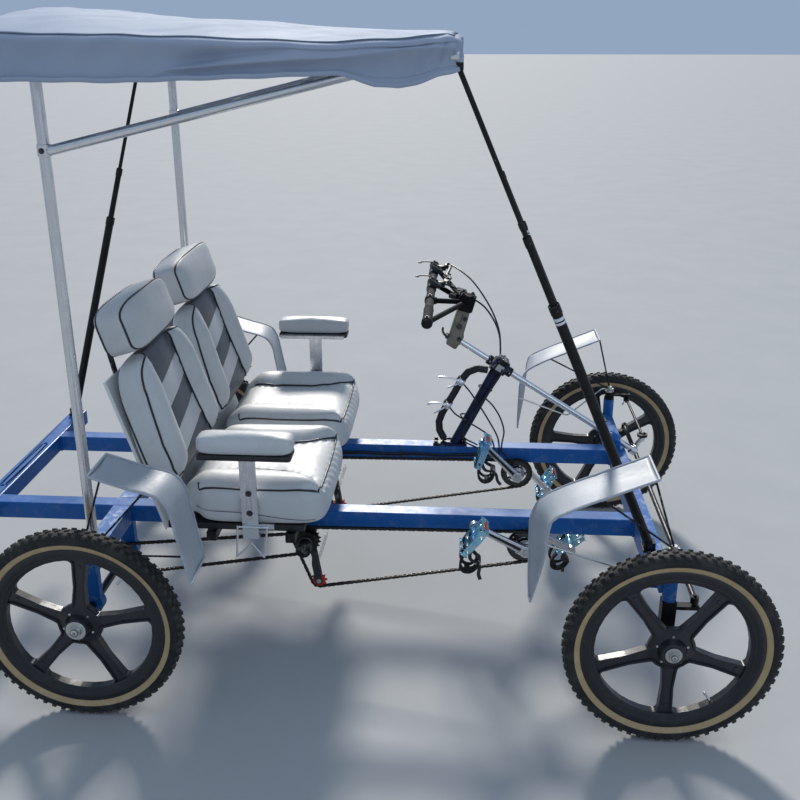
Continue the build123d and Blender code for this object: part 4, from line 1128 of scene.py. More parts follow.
# folded corners of the cover at both ends
e = smooth01((np.abs(P4[:, 0]) - 0.088) / 0.024)
P4[:, 0] -= np.sign(P4[:, 0]) * 0.0018 * e * np.exp(-((np.abs(P4[:, 1]) - 0.024) / 0.0030) ** 2) * (P4[:, 2] < 0.012)
M = Mesh()
for s, xp, yp, lift in PADS:
    M.add((P4 * [1, s, 1] + [xp, s * yp, PAD_Z + lift + PAD_H / 2], F4 if s > 0 else [tuple(reversed(f)) for f in F4]))
o = build("armrest_covers", M, VINYL, "chassis", sharp=180, replaces=["armrest_pads"])

# black moulded base under each pad, on the strap's plate
M = Mesh()
for s, xp, yp, lift in PADS:
    out = [(c[0], c[1]) for c in bent([(-0.112, -0.033, 0), (0.112, -0.033, 0), (0.112, 0.033, 0), (-0.112, 0.033, 0), (-0.112, -0.033, 0)], 0.010, 5)[:-1, :2]]
    out = [p for i, p in enumerate(out) if i == 0 or math.hypot(p[0] - out[i - 1][0], p[1] - out[i - 1][1]) > 1e-4]
    m = np.eye(4)
    m[:3, 3] = (xp, s * yp, PAD_Z + lift - 0.0052)
    M.add(prism(out, 0.0140, 0.003, 2), 0, m)
    for dx in (-0.085, 0.085):
        M.add(hexhead((xp + dx, s * yp, PAD_Z + lift - 0.0122), (0, 0, -1), 0.004, 0.003), 1)
build("armrest_bases", M, [PLASTIC, ZINC], "chassis")


# ------------------------------------------------------------------ canopy: one sheet over rails and bows
CAN_X0, CAN_X1, CAN_Y, CAN_HEM = -0.758, 0.275, 0.606, 1.512
CAN_ROWS = [(-0.758, 1.574, 1.632), (-0.728, 1.592, 1.656), (-0.240, 1.588, 1.622), (0.245, 1.588, 1.598), (0.275, 1.566, 1.574)]
BOW_X = (-0.618, -0.240, 0.231)


# along X: the roof's edge, the hem, and the upper and lower line of the long fold on each side
EDGE_Z = [(-0.76, 1.590), (-0.40, 1.588), (-0.243, 1.584), (-0.065, 1.578), (0.02, 1.577), (0.161, 1.585), (0.235, 1.595), (0.275, 1.588)]
HEM_Z = [(-0.76, 1.508), (-0.404, 1.505), (-0.344, 1.507), (-0.081, 1.516), (-0.02, 1.519), (0.030, 1.519), (0.058, 1.512), (0.097, 1.499), (0.143, 1.496), (0.181, 1.504), (0.219, 1.518), (0.282, 1.526)]
FOLD_Z = [(-0.76, 1.512), (-0.352, 1.512), (-0.319, 1.529), (-0.182, 1.550), (-0.064, 1.565), (0.02, 1.572), (0.10, 1.577), (0.20, 1.583), (0.28, 1.583)]
FOOT_Z = [(-0.76, 1.510), (-0.352, 1.510), (-0.308, 1.526), (-0.182, 1.537), (-0.065, 1.545), (0.028, 1.549), (0.105, 1.558), (0.158, 1.565), (0.28, 1.570)]


def can_edge(x):
    return line_y(EDGE_Z, x)


def can_crown(x):
    return np.interp(x, [r[0] for r in CAN_ROWS[1:4]], [r[2] for r in CAN_ROWS[1:4]])


def between_bows(x):
    """0 on a bow, 1 halfway between two of them."""
    b = [CAN_X0] + list(BOW_X) + [CAN_X1]
    out = np.zeros_like(x)
    for p, q in zip(b[:-1], b[1:]):
        t = np.clip((x - p) / (q - p), 0, 1)
        out = np.maximum(out, np.where((x >= p) & (x <= q), np.sin(np.pi * t) ** 1.3 * min(1.0, (q - p) / 0.3), 0))
    return out


def canopy_sheet():
    hx, hy, cx = (CAN_X1 - CAN_X0) / 2 - 0.006, CAN_Y - 0.004, (CAN_X0 + CAN_X1) / 2
    # columns round a rounded rectangle
    r = 0.045
    rim = []

    def run(a, b, step):
        n = max(2, int(np.linalg.norm(np.subtract(b, a)) / step))
        for i in range(n):
            t = i / n
            rim.append((a[0] + (b[0] - a[0]) * t, a[1] + (b[1] - a[1]) * t))

    def corner(c, a0):
        for i in range(9):
            t = math.radians(a0 + 90 * i / 9)
            rim.append((c[0] + r * math.cos(t), c[1] + r * math.sin(t)))
    st = 0.009
    run((-hx + r, -hy), (hx - r, -hy), st)
    corner((hx - r, -hy + r), -90)
    run((hx, -hy + r), (hx, hy - r), st)
    corner((hx - r, hy - r), 0)
    run((hx - r, hy), (-hx + r, hy), st)
    corner((-hx + r, hy - r), 90)
    run((-hx, hy - r), (-hx, -hy + r), st)
    corner((-hx + r, -hy + r), 180)
    rim = np.array(rim)
    n = len(rim)
    X = rim[:, 0] + cx
    Y = rim[:, 1]
    side = smooth01((np.abs(Y) - (hy - 0.05)) / 0.05)          # 1 on the long sides
    frontness = smooth01((X - (CAN_X1 - 0.05)) / 0.045)
    backness = smooth01(((CAN_X0 + 0.05) - X) / 0.045)
    rings = []
    # roof rings, from the middle outwards
    for t in np.concatenate([np.linspace(0.0, 0.90, 34), [0.925, 0.945, 0.96]]):
        x, y = cx + rim[:, 0] * t, rim[:, 1] * t
        q = np.abs(y) / hy
        z = can_edge(x) + (can_crown(x) - can_edge(x)) * (1 - q ** 2.2)
        endfall = np.maximum(smooth01((x - 0.225) / 0.06), smooth01((-0.705 - x) / 0.06))
        z = z - 0.007 * endfall
        sag = between_bows(x)
        z = z - 0.006 * sag * (1 - q ** 3) * smooth01(t * 3 + 0.4)
        # low drag lines that run from the front corners to the middle
        ang = np.arctan2(y, x - CAN_X1 - 0.05)
        z = z + 0.0016 * np.sin(ang * 34) * smooth01((x + 0.15) / 0.3) * smooth01((q - 0.45) / 0.3)
        z = z + 0.0012 * np.sin(x * 41 + 3 * np.sin(y * 9)) * np.sin(y * 23 + 2 * np.sin(x * 7))
        rings.append(np.stack([x, y, z - 0.001], 1))
    top = rings[-1][:, 2]
    # rolled edge and side drop
    left = Y > 0
    za = CAN_HEM + 0.0025                                      # hem at the long sides
    hem = line_y(HEM_Z, X) + 0.0008 * np.sin(X * 61) + np.where(left, 0.002 * np.sin(X * 17 + 1.0), 0)
    flap = 1.529 + 0.004 * np.cos(Y * 9) + 0.0015 * np.sin(Y * 47)
    hem = hem * side + (1 - side) * flap
    fold = line_y(FOLD_Z, X)
    foot = line_y(FOOT_Z, X)
    strong = smooth01((X + 0.35) / 0.10) * side                # how far the fold is worked out
    fold = fold * side + (1 - side) * (hem + 0.60 * (top - hem))
    foot = foot * side + (1 - side) * (hem + 0.40 * (top - hem))
    fold = np.minimum(fold, top - 0.016)
    foot = np.minimum(foot, fold - 0.0015)
    deep = 0.019 * strong * np.clip((top - fold - 0.012) / 0.03, 0, 1)
    arc = np.cumsum(np.concatenate([[0], np.linalg.norm(np.diff(rim, axis=0), axis=1)]))
    corner_out = rim - np.stack([np.clip(rim[:, 0], -hx + r, hx - r), np.clip(rim[:, 1], -hy + r, hy - r)], 1)
    nrm = corner_out / np.maximum(np.linalg.norm(corner_out, axis=1), 1e-9)[:, None]
    sh = 0.012
    cr = np.exp(-((np.hypot(np.abs(X - cx) - hx + 0.01, np.abs(Y) - hy + 0.01)) / 0.085) ** 2)
    NS, NA, NB, NC = 7, 12, 6, 13
    for k in range(1, NS + NA + NB + NC + 1):
        if k <= NS:
            a = k / NS
            z = top - 0.001 - sh * (1 - math.cos(a * math.pi / 2))
            ins = (1 - math.sin(a * math.pi / 2)) * 0.034 + 0.002
            off = np.zeros(n)
        else:
            ins = 0.002
            z1 = top - 0.001 - sh
            if k <= NS + NA:
                a = (k - NS) / NA
                z = z1 + (fold - z1) * a
                off = -deep * smooth01(a * 1.15)
            elif k <= NS + NA + NB:
                a = (k - NS - NA) / NB
                z = fold + (foot - fold) * a
                off = -deep + (deep + 0.0045 * strong) * a ** 0.85
            else:
                a = (k - NS - NA - NB) / NC
                z = foot + (hem - foot) * a
                off = 0.0045 * strong * (1 - a) - 0.013 * strong * np.sin(np.pi * min(1, a * 1.05)) ** 0.8 * np.clip((foot - hem) / 0.03, 0, 1)
                off = off + 0.007 * smooth01((a - 0.55) / 0.45) * smooth01((0.0 - X) / 0.1) * side
        td = (top - z) / np.maximum(top - hem, 0.01)
        plain = -0.007 * np.sin(np.pi * np.clip(td, 0, 1)) * (1 - strong) * side
        wav = 0.0035 * np.sin(arc * 31 + 1.3 * np.sin(arc * 9)) * smooth01(td * 1.5)
        ends = (-0.004 * np.sin(np.pi * np.clip(td, 0, 1)) + wav) * (1 - side)
        soft = 0.0016 * np.sin(arc * 57 + 5 * td) * np.sin(np.pi * np.clip(td, 0, 1)) * side
        puck = 0.0075 * cr * np.sin(arc * 150 + 6 * td) * np.sin(np.pi * np.clip(td * 1.1 + 0.1, 0, 1)) * smooth01(td * 4)
        move = off + plain + ends + soft + puck - 0.005 - ins
        rings.append(np.stack([cx + rim[:, 0] + nrm[:, 0] * move, rim[:, 1] + nrm[:, 1] * move, z], 1))
    V = [rings[0].mean(0)]
    rings = rings[1:]
    V = np.concatenate([np.array(V)] + rings)
    F = [(0, 1 + i, 1 + (i + 1) % n) for i in range(n)]
    for k in range(len(rings) - 1):
        a, b = 1 + k * n, 1 + (k + 1) * n
        F += [(a + i, b + i, b + (i + 1) % n, a + (i + 1) % n) for i in range(n)]
    return V, F, rings, n


CV, CF, CRINGS, CN = canopy_sheet()
CV[:, 0] = np.clip(CV[:, 0], CAN_X0 - 0.004, CAN_X1 + 0.004)
M = Mesh()
M.add((CV, CF))
canopy = build("canopy_sheet", M, CANVAS_PAINTED_SHADE, "chassis", sharp=180, replaces=["canopy_cover"])
so = canopy.modifiers.new("cloth_thickness", "SOLIDIFY")
so.thickness = 0.0012
so.offset = 0


# folded hem, sewn all round
M = Mesh()
hem = np.array(CRINGS[-1])
M.add(tube(hem + [0, 0, 0.001], 1.0, 8, closed=True, section=[(0.0045 * math.cos(a), 0.0016 * math.sin(a)) for a in np.arange(8) * math.pi / 4], up=(0, 0, 1)), 0)
hem2 = np.array(CRINGS[-4])
up2 = np.array(CRINGS[-5])
ctr = np.array([(CAN_X0 + CAN_X1) / 2, 0, 1.5])
line = np.concatenate([hem2, hem2[:1]])
st = stitches(line[::1], lambda p: unit([(p[0] - ctr[0]) * (abs(p[0] - ctr[0]) > 0.48), p[1] * (abs(p[1]) > 0.55), 0.0]), pitch=0.007, length=0.0045, r=0.0006, lift=0.0014)
M.add((np.concatenate(st.v), st.f), 1)
# straps of the same cloth that tie the roof round the rails
for s in (-1, 1):
    for x in (-0.69, -0.40, -0.06, 0.16):
        a = np.linspace(0, 2 * math.pi, 28, endpoint=False)
        ring = [(x, s * 0.562 + 0.0134 * math.cos(t), 1.550 + 0.0134 * math.sin(t)) for t in a]
        M.add(tube(ring, 1.0, 8, closed=True, section=[(0.011, 0.0008), (-0.011, 0.0008), (-0.011, -0.0008), (0.011, -0.0008)], up=(1, 0, 0)), 0)
        M.add((lambda b: b)(rbox((0.022, 0.010, 0.020), 0.002, 2)), 2, np.array([[1, 0, 0, x], [0, 1, 0, s * (0.562 - 0.018)], [0, 0, 1, 1.548], [0, 0, 0, 1.0]]))
build("canopy_hem", M, [CANVAS_PAINTED_SHADE, THREAD, PLASTIC], "chassis", sharp=50)


# ------------------------------------------------------------------ wheels
def tyre_mesh(seed=0):
    """Local Z is the axle. Materials: 0 black rubber, 1 tan ring."""
    M = Mesh()
    w = 0.026
    prof = [(0.2070, 0.0128), (0.2085, 0.0150), (0.2110, 0.0166), (0.2135, 0.0186), (0.2180, 0.0208), (0.2245, 0.0228), (0.2262, 0.0236), (0.2300, 0.0246), (0.2350, 0.0247), (0.2395, 0.0238), (0.2435, 0.0215), (0.2465, 0.0180), (0.2486, 0.0120), (0.2494, 0.0060), (0.2496, 0.0)]
    prof = prof + [(r, -z) for r, z in reversed(prof[:-1])] + [(0.2095, -0.0095), (0.2110, 0.0), (0.2095, 0.0095)]
    n = 144
    V, F = lathe(prof, n, closed=True)
    m = len(prof)
    ids = []
    for i in range(m):
        r0, r1 = prof[i][0], prof[(i + 1) % m][0]
        tan = 0.2075 < 0.5 * (r0 + r1) < 0.2255 and abs(prof[i][1]) > 0.012
        ids += [1 if tan else 0] * n
    M.add((V, F), ids)
    # thin moulded lines round the sidewall
    for s in (-1, 1):
        for r, z in ((0.2272, 0.0242), (0.2372, 0.0246), (0.2106, 0.0167)):
            a = np.linspace(0, 2 * math.pi, 120, endpoint=False)
            M.add(tube(np.stack([r * np.cos(a), r * np.sin(a), np.full(120, s * z)], 1), 0.0005, 5, closed=True, up=(0, 0, 1)), 0)
    # tread: two middle rows, two shoulder rows
    block, bf = rbox((1, 1, 1), 0.10, 1)
    pitches = 66
    for i in range(pitches):
        for row, (z0, wz, lt, r0, h, lean, sh) in enumerate(((0.0062, 0.0088, 0.0135, 0.2490, 0.0048, 0.0, 0.0), (-0.0062, 0.0088, 0.0135, 0.2490, 0.0048, 0.0, 0.5), (0.0178, 0.0095, 0.0120, 0.2465, 0.0058, 0.58, 0.5), (-0.0178, 0.0095, 0.0120, 0.2465, 0.0058, -0.58, 0.0))):
            a = 2 * math.pi * (i + sh) / pitches
            rad = np.array([math.cos(a), math.sin(a), 0])
            tan = np.array([-math.sin(a), math.cos(a), 0])
            z = np.array([0, 0, 1.0])
            up = rad * math.cos(lean) + z * math.sin(lean)
            side = z * math.cos(lean) - rad * math.sin(lean)
            k = 0.86 + 0.14 * ((i * 7 + row * 3) % 5) / 4
            skew = 0.22 * (1 if row % 2 else -1)
            t2 = unit(tan + side * skew)
            P = block.copy()
            taper = 1 - 0.16 * (P[:, 2:3] + 0.5)
            P = (P[:, 0:1] * lt * taper) * t2 + (P[:, 1:2] * wz * k * taper) * side + (P[:, 2:3] * h) * up
            M.add((P + rad * r0 + z * z0 + up * (h * 0.5 - 0.0014), bf), 0)
    P = np.concatenate(M.v)
    r = np.hypot(P[:, 0], P[:, 1])
    f = np.where(r > 0.2538, 0.2538 / r, 1)
    P[:, 0] *= f
    P[:, 1] *= f
    M.v = [P]
    return M


def rim_mesh(hub_half, bore, front):
    """Five-spoke moulded wheel: thin web with ribs round every window."""
    M = Mesh()
    wins = []
    for i in range(5):
        a0, a1 = math.radians(72 * i), math.radians(72 * (i + 1))
        hw_in, hw_mid, hw_out = 0.0175, 0.0130, 0.0165
        pts = []

        def edge(a, r, off):
            return (r * math.cos(a) - off * math.sin(a), r * math.sin(a) + off * math.cos(a), 0)
        pts += [edge(a0, 0.050, hw_in), edge(a0, 0.105, hw_mid), edge(a0, 0.172, hw_out)]
        for k in range(1, 8):
            a = a0 + (a1 - a0) * k / 8
            pts.append((0.1795 * math.cos(a), 0.1795 * math.sin(a), 0))
        pts += [edge(a1, 0.172, -hw_out), edge(a1, 0.105, -hw_mid), edge(a1, 0.050, -hw_in)]
        am = 0.5 * (a0 + a1)
        pts.append((0.052 * math.cos(am), 0.052 * math.sin(am), 0))
        pts = pts + [pts[0], pts[1]]
        q = bent(pts, 0.020, 5)[1:]
        loop = []
        for p in q:
            if not loop or np.linalg.norm(p - loop[-1]) > 0.0012:
                loop.append(p)
        while np.linalg.norm(loop[0] - loop[-1]) < 0.010:
            loop.pop()
        wins.append(np.array(loop))
    M.add(prism(circle(0.184, 120), 0.0095, 0.0, 1, holes=[[(p[0], p[1]) for p in w] for w in wins]), 0)
    sec = [(0.0032, 0.0096), (0.0026, 0.0104), (-0.0004, 0.0106), (-0.0016, 0.0100), (-0.0016, -0.0100), (-0.0004, -0.0106), (0.0026, -0.0104), (0.0032, -0.0096)]
    for w in wins:
        cen = w.mean(0)
        T, Nn, B = frames_along(w, True, up=(0, 0, 1))
        V = []
        for p, tg in zip(w, T):
            side = np.cross(tg, (0, 0, 1))
            if side @ (p - cen) < 0:
                side = -side
            V.append([p + side * (a + 0.0008) + np.array([0, 0, 1.0]) * b for a, b in sec])
        V = np.array(V).reshape(-1, 3)
        m, k = len(w), len(sec)
        F = [(i * k + j, i * k + (j + 1) % k, ((i + 1) % m) * k + (j + 1) % k, ((i + 1) % m) * k + j) for i in range(m) for j in range(k)]
        M.add((V, F), 0)
    # rim: thick band, well and hooked edges
    prof = [(0.1790, 0.0104), (0.1835, 0.0125), (0.1905, 0.0150), (0.1960, 0.0178), (0.2030, 0.0196), (0.2085, 0.0198), (0.2120, 0.0190), (0.2130, 0.0176), (0.2118, 0.0160), (0.2072, 0.0140), (0.2066, 0.0125), (0.2066, -0.0125), (0.2072, -0.0140), (0.2118, -0.0160), (0.2130, -0.0176), (0.2120, -0.0190), (0.2085, -0.0198), (0.2030, -0.0196), (0.1960, -0.0178), (0.1905, -0.0150), (0.1835, -0.0125), (0.1790, -0.0104)]
    M.add(lathe(prof, 144, closed=True), 0)
    # raised rib round the band on both faces
    for s in (-1, 1):
        M.add(lathe([(0.1868, s * 0.0120), (0.1882, s * 0.0152), (0.1900, s * 0.0158), (0.1916, s * 0.0150)], 120, closed=True), 0)
    # hub
    h = hub_half
    prof = [(bore, h - 0.004), (0.0195, h - 0.004), (0.0205, h), (0.0262, h), (0.0285, h - 0.003), (0.0295, h - 0.009), (0.0340, 0.013), (0.0420, 0.0095), (0.0560, 0.0048), (0.0560, -0.0048), (0.0420, -0.0095), (0.0340, -0.013), (0.0295, -h + 0.009), (0.0285, -h + 0.003), (0.0262, -h), (0.0205, -h), (0.0195, -h + 0.004), (bore, -h + 0.004)]
    M.add(lathe(prof, 72, closed=True), 0)
    for s in (-1, 1):
        # bearing: outer race, shield and inner race
        M.add(lathe([(bore + 0.0002, s * (h - 0.0042)), (bore + 0.0004, s * (h - 0.0012)), (0.0118, s * (h - 0.0010)), (0.0124, s * (h - 0.0022)), (0.0160, s * (h - 0.0026)), (0.0164, s * (h - 0.0010)), (0.0190, s * (h - 0.0008)), (0.0194, s * (h - 0.0042))], 48, closed=True), 1)
        for i in range(5):
            a = math.radians(72 * i + 36)
            M.add(hexhead((0.0370 * math.cos(a), 0.0370 * math.sin(a), s * 0.0115), (0, 0, s), 0.0036, 0.0030, washer=False), 2)
    # valve
    a = math.radians(36)
    d = np.array([math.cos(a), math.sin(a), 0])
    M.add(lathe([(0.0034, 0), (0.0034, 0.010), (0.0026, 0.012), (0.0026, 0.022), (0.0032, 0.0222), (0.0032, 0.030), (0.002, 0.031)], 14, d * 0.181, -d), 3)
    # mould lugs on the web between the ribs, near the rim
    for i in range(5):
        a = math.radians(72 * i)
        for s in (-1, 1):
            M.add(lathe([(0.0052, 0), (0.0052, s * 0.0018), (0.0040, s * 0.0024), (0, s * 0.0024)], 16, (0.160 * math.cos(a), 0.160 * math.sin(a), s * 0.0046), (0, 0, 1), caps=False), 0)
    return M


BEAR = metal("bearing_ring", (0.42, 0.47, 0.44), rough=0.28, grain=0.1, tarnish=0.45, tint=(0.16, 0.18, 0.14))


def wheel_matrix(x, y, deg):
    # local Z to -Y of the row frame, local X to the spoke
    a = math.radians(deg)
    m = np.eye(4)
    m[:3, 0] = (math.cos(a), 0, math.sin(a))
    m[:3, 1] = (-math.sin(a), 0, math.cos(a))
    m[:3, 2] = (0, -1, 0)
    m[:3, 3] = (x, y, AX_Z)
    return m


TY = tyre_mesh()
TY_PART = (np.concatenate(TY.v), TY.f)
for key, body in (("front_left", "front_left_wheel"), ("front_right", "front_right_wheel"), ("rear_left", "rear_left_wheel"), ("rear_right", "rear_right_wheel")):
    end, sidew = key.split("_")
    sy = 1 if sidew == "left" else -1
    x, y = (FX if end == "front" else RX), sy * WHEEL_Y[end]
    m = wheel_matrix(x, y, SPOKE_DEG[key])
    M = Mesh()
    M.add(TY_PART, TY.m, m)
    build(key + "_tyre_tread", M, [RUBBER, TAN], body, sharp=35, replaces=[key + "_tyre"])
    R = rim_mesh(0.032, 0.0082 if end == "front" else 0.0101, end == "front")
    M = Mesh()
    M.add((np.concatenate(R.v), R.f), R.m, m)
    build(key + "_mag_wheel", M, [MAG, BEAR, ZINC, CHROME], body, sharp=42, replaces=[key + "_rim"])
    # nut, washer and the axle's threaded end
    M = Mesh()
    ye = y + sy * 0.044
    out = (0, sy, 0)
    rad = 0.008 if end == "front" else 0.010
    M.add(hexhead((x, y + sy * 0.0325, AX_Z), out, rad * 1.55, 0.0075), 0)
    th = [(rad * (0.96 if k % 2 else 1.03), 0.0008 * k) for k in range(7)]
    M.add(lathe([(0, -0.0005)] + th + [(rad * 0.7, 0.0060), (0, 0.0060)], 24, (x, ye - sy * 0.0055, AX_Z), out, caps=False), 0)
    M.add(lathe([(rad * 0.35, 0), (rad * 0.32, 0.0006), (0, -0.0006)], 16, (x, ye + sy * 0.0004, AX_Z), out, caps=False), 1)
    host = ("left_knuckle" if sy > 0 else "right_knuckle") if end == "front" else body
    build(key + "_axle_nut", M, [ZINC, DARKSTEEL], host, sharp=35)


# ------------------------------------------------------------------ drive
BBX, BBZ, CR_L, BEAMY = 0.458, 0.320, 0.154, 0.228
JX, JZ, JR1, JR2 = -0.125, 0.322, 0.036, 0.030
PX, PZ, PR = -0.095, 0.198, 0.020
CH_Y = {"left": 0.183, "right": -0.273}
RR_Y = {"left": 0.276, "right": -0.294}
PITCH = 0.0127


def hull_path(circles):
    """Closed outline pulled tight round circles (x, z, r), turning one way."""
    P = []
    for x, z, r in circles:
        a = np.linspace(0, 2 * math.pi, 480, endpoint=False)
        P += list(zip(np.round(x + r * np.cos(a), 7), np.round(z + r * np.sin(a), 7)))
    P = sorted(set(P))

    def half(pts):
        out = []
        for p in pts:
            while len(out) >= 2 and (out[-1][0] - out[-2][0]) * (p[1] - out[-2][1]) - (out[-1][1] - out[-2][1]) * (p[0] - out[-2][0]) <= 1e-12:
                out.pop()
            out.append(p)
        return out[:-1]
    H = np.array(half(P) + half(P[::-1]))
    return H


def chain_links(circles, y):
    """Roller chain: returns part meshes and the pin positions (x, z)."""
    H = hull_path(circles)
    Q = np.vstack([H, H[:1]])
    seg = np.linalg.norm(np.diff(Q, axis=0), axis=1)
    s = np.concatenate([[0], np.cumsum(seg)])
    n = int(round(s[-1] / PITCH / 2)) * 2
    t = np.arange(n) / n * s[-1]
    X = np.interp(t, s, Q[:, 0])
    Z = np.interp(t, s, Q[:, 1])
    M = Mesh()
    half = PITCH / 2
    outl = []
    for k in range(7):
        a = math.radians(-80 + 160 * k / 6)
        outl.append((half + 0.0040 * math.cos(a), 0.0040 * math.sin(a)))
    outl.append((0, 0.0030))
    for k in range(7):
        a = math.radians(100 + 160 * k / 6)
        outl.append((-half + 0.0040 * math.cos(a), 0.0040 * math.sin(a)))
    outl.append((0, -0.0030))
    PV, PF = prism(outl, 0.0009, 0.0, 1)
    RV, RF = prism(circle(0.0038, 10), 0.0044, 0.0, 1)
    KV, KF = prism(circle(0.0018, 8), 0.0082, 0.0, 1)
    for i in range(n):
        p = np.array([X[i], y, Z[i]])
        q = np.array([X[(i + 1) % n], y, Z[(i + 1) % n]])
        d = unit(q - p)
        up = np.cross(d, (0, 1.0, 0))
        R = np.stack([d, up, np.array([0, -1.0, 0]) * -1], 1)
        off = 0.0033 if i % 2 else 0.0021
        for sgn in (-1, 1):
            M.add((PV @ R.T + 0.5 * (p + q) + np.array([0, sgn * off, 0]), PF), 0)
        M.add((RV @ R.T + p, RF), 1)
        M.add((KV @ R.T + p, KF), 0)
    return M, np.stack([X, Z], 1)


def toothed(c, R, y, n, th, pins, inner, windows=0, arm=0.010):
    """Sprocket round centre c (x, z): toothed rim, valleys on the chain's pins."""
    d = np.linalg.norm(pins - np.array(c), axis=1)
    j = int(np.argmin(np.abs(d - R)))
    ph = math.atan2(pins[j][1] - c[1], pins[j][0] - c[0])
    out = []
    for i in range(n):
        for f, r in ((0.0, R - 0.0040), (0.16, R - 0.0036), (0.34, R - 0.0006), (0.46, R + 0.0030), (0.54, R + 0.0030), (0.66, R - 0.0006), (0.84, R - 0.0036)):
            a = ph + 2 * math.pi * (i + f) / n
            out.append((r * math.cos(a), r * math.sin(a)))
    holes = []
    if windows:
        r0, r1 = inner, R - 0.014
        for i in range(windows):
            a0, a1 = 2 * math.pi * i / windows, 2 * math.pi * (i + 1) / windows
            g0, g1 = math.asin(arm / r0), math.asin(arm / r1)
            h = [(r1 * math.cos(a), r1 * math.sin(a)) for a in np.linspace(a0 + g1, a1 - g1, 12)]
            h += [(r0 * math.cos(a), r0 * math.sin(a)) for a in np.linspace(a1 - g0, a0 + g0, 7)]
            holes.append(h)
    V, F = prism(out, th, 0.0, 1, holes=holes)
    V = np.asarray(V)
    return (np.stack([V[:, 0] + c[0], V[:, 2] + y, V[:, 1] + c[1]], 1), [tuple(reversed(f)) for f in F])


M = Mesh()
PINS = {}
for side in ("left", "right"):
    m, p1 = chain_links([(BBX, BBZ, 0.044), (JX, JZ, JR1), (PX, PZ, PR)], CH_Y[side])
    M.add((np.concatenate(m.v), m.f), m.m)
    m, p2 = chain_links([(JX, JZ, JR2), (RX, AX_Z, 0.046)], RR_Y[side])
    M.add((np.concatenate(m.v), m.f), m.m)
    PINS[side] = (p1, p2)
build("roller_chains", M, [OILED, DARKSTEEL], "chassis", sharp=40, replaces=["drive_chains"])

# jackshaft sprockets, red idler pulleys in their cages
M = Mesh()
for side in ("left", "right"):
    s = 1 if side == "left" else -1
    p1, p2 = PINS[side]
    M.add(toothed((JX, JZ), JR1, CH_Y[side], 18, 0.0044, p1, 0.02), 0)
    M.add(toothed((JX, JZ), JR1 - 0.006, CH_Y[side] - s * 0.0062, 15, 0.0028, p1, 0.02), 0)
    M.add(toothed((JX, JZ), JR2, RR_Y[side], 15, 0.0044, p2, 0.02), 0)
    for yy, r in ((CH_Y[side], 0.022), (RR_Y[side], 0.019)):
        M.add(lathe([(r, -0.0052), (r - 0.002, -0.0066), (0.010, -0.0066), (0.010, 0.0066), (r - 0.002, 0.0066), (r, 0.0052)], 28, (JX, yy, JZ), (0, 1, 0), closed=True), 2)
    # idler pulley: red teeth and red bush, two cage plates
    y0 = CH_Y[side]
    M.add(toothed((PX, PZ), PR, y0, 10, 0.0048, p1, 0.01), 1)
    M.add(lathe([(0.0165, -0.0036), (0.0150, -0.0048), (0.0085, -0.0050), (0.0085, 0.0050), (0.0150, 0.0048), (0.0165, 0.0036)], 28, (PX, y0, PZ), (0, 1, 0), closed=True), 1)
    for k in (-1, 1):
        yy = y0 + k * 0.0072
        out = [(PX + 0.0105 * math.cos(a), PZ + 0.0105 * math.sin(a)) for a in np.linspace(-2.8, 0.5, 10)]
        out += [(JX + 0.026, JZ - 0.034), (JX + 0.014, JZ - 0.030), (PX - 0.018, PZ + 0.052)]
        V, F = prism([(x - PX, z - PZ) for x, z in out], 0.0018, 0.0, 1)
        M.add((np.stack([V[:, 0] + PX, V[:, 2] + yy, V[:, 1] + PZ], 1), F), 2)
        M.add(hexhead((PX, y0 + k * 0.0080, PZ), (0, k, 0), 0.0042, 0.0030), 3)
    M.add(hexhead((JX, y0 + (0.012 if s > 0 else -0.012), JZ), (0, s, 0), 0.0085, 0.006), 3)
    # bearing shell on the beam: a grease cap on each side
    for k in (-1, 1):
        yb = s * BEAMY + k * 0.0331
        M.add(lathe([(0.0195, 0), (0.0188, 0.0012), (0.0125, 0.0014), (0.0120, 0.0006), (0.0095, 0.0006)], 28, (JX, yb, JZ), (0, k, 0), caps=False), 2)
build("jack_sprockets", M, [OILED, RED, DARKSTEEL, ZINC], "chassis", sharp=40)

# tension spring of each idler arm
M = Mesh()
for side in ("left", "right"):
    s = 1 if side == "left" else -1
    ys = CH_Y[side] - s * 0.010
    a, b = np.array([JX + 0.030, ys, JZ - 0.062]), np.array([JX + 0.052, ys, JZ + 0.010])
    d = b - a
    L = np.linalg.norm(d)
    u = d / L
    e1 = np.array([0, 1.0, 0])
    e2 = np.cross(u, e1)
    t = np.linspace(0, 1, 110)
    P = [a + d * v + (e1 * math.cos(2 * math.pi * 12 * v) + e2 * math.sin(2 * math.pi * 12 * v)) * 0.0042 for v in t]
    M.add(tube([a - u * 0.006] + P + [b + u * 0.008], 0.0007, 5), 0)
build("idler_springs", M, [ZINC], "chassis")

for side, s in (("left", 1), ("right", -1)):
    M = Mesh()
    M.add(toothed((RX, AX_Z), 0.046, RR_Y[side], 23, 0.0044, PINS[side][1], 0.02), 0)
    M.add(lathe([(0.0205, -0.0118), (0.0220, -0.0105), (0.0220, 0.0105), (0.0205, 0.0118)], 28, (RX, RR_Y[side], AX_Z), (0, 1, 0), caps=False), 1)
    for i in range(5):
        a = math.radians(72 * i)
        M.add(hexhead((RX + 0.031 * math.cos(a), RR_Y[side] + s * 0.0022, AX_Z + 0.031 * math.sin(a)), (0, s, 0), 0.0032, 0.0026, washer=False), 2)
    build("rear_%s_sprocket" % side, M, [OILED, DARKSTEEL, ZINC], "rear_%s_wheel" % side, sharp=40)


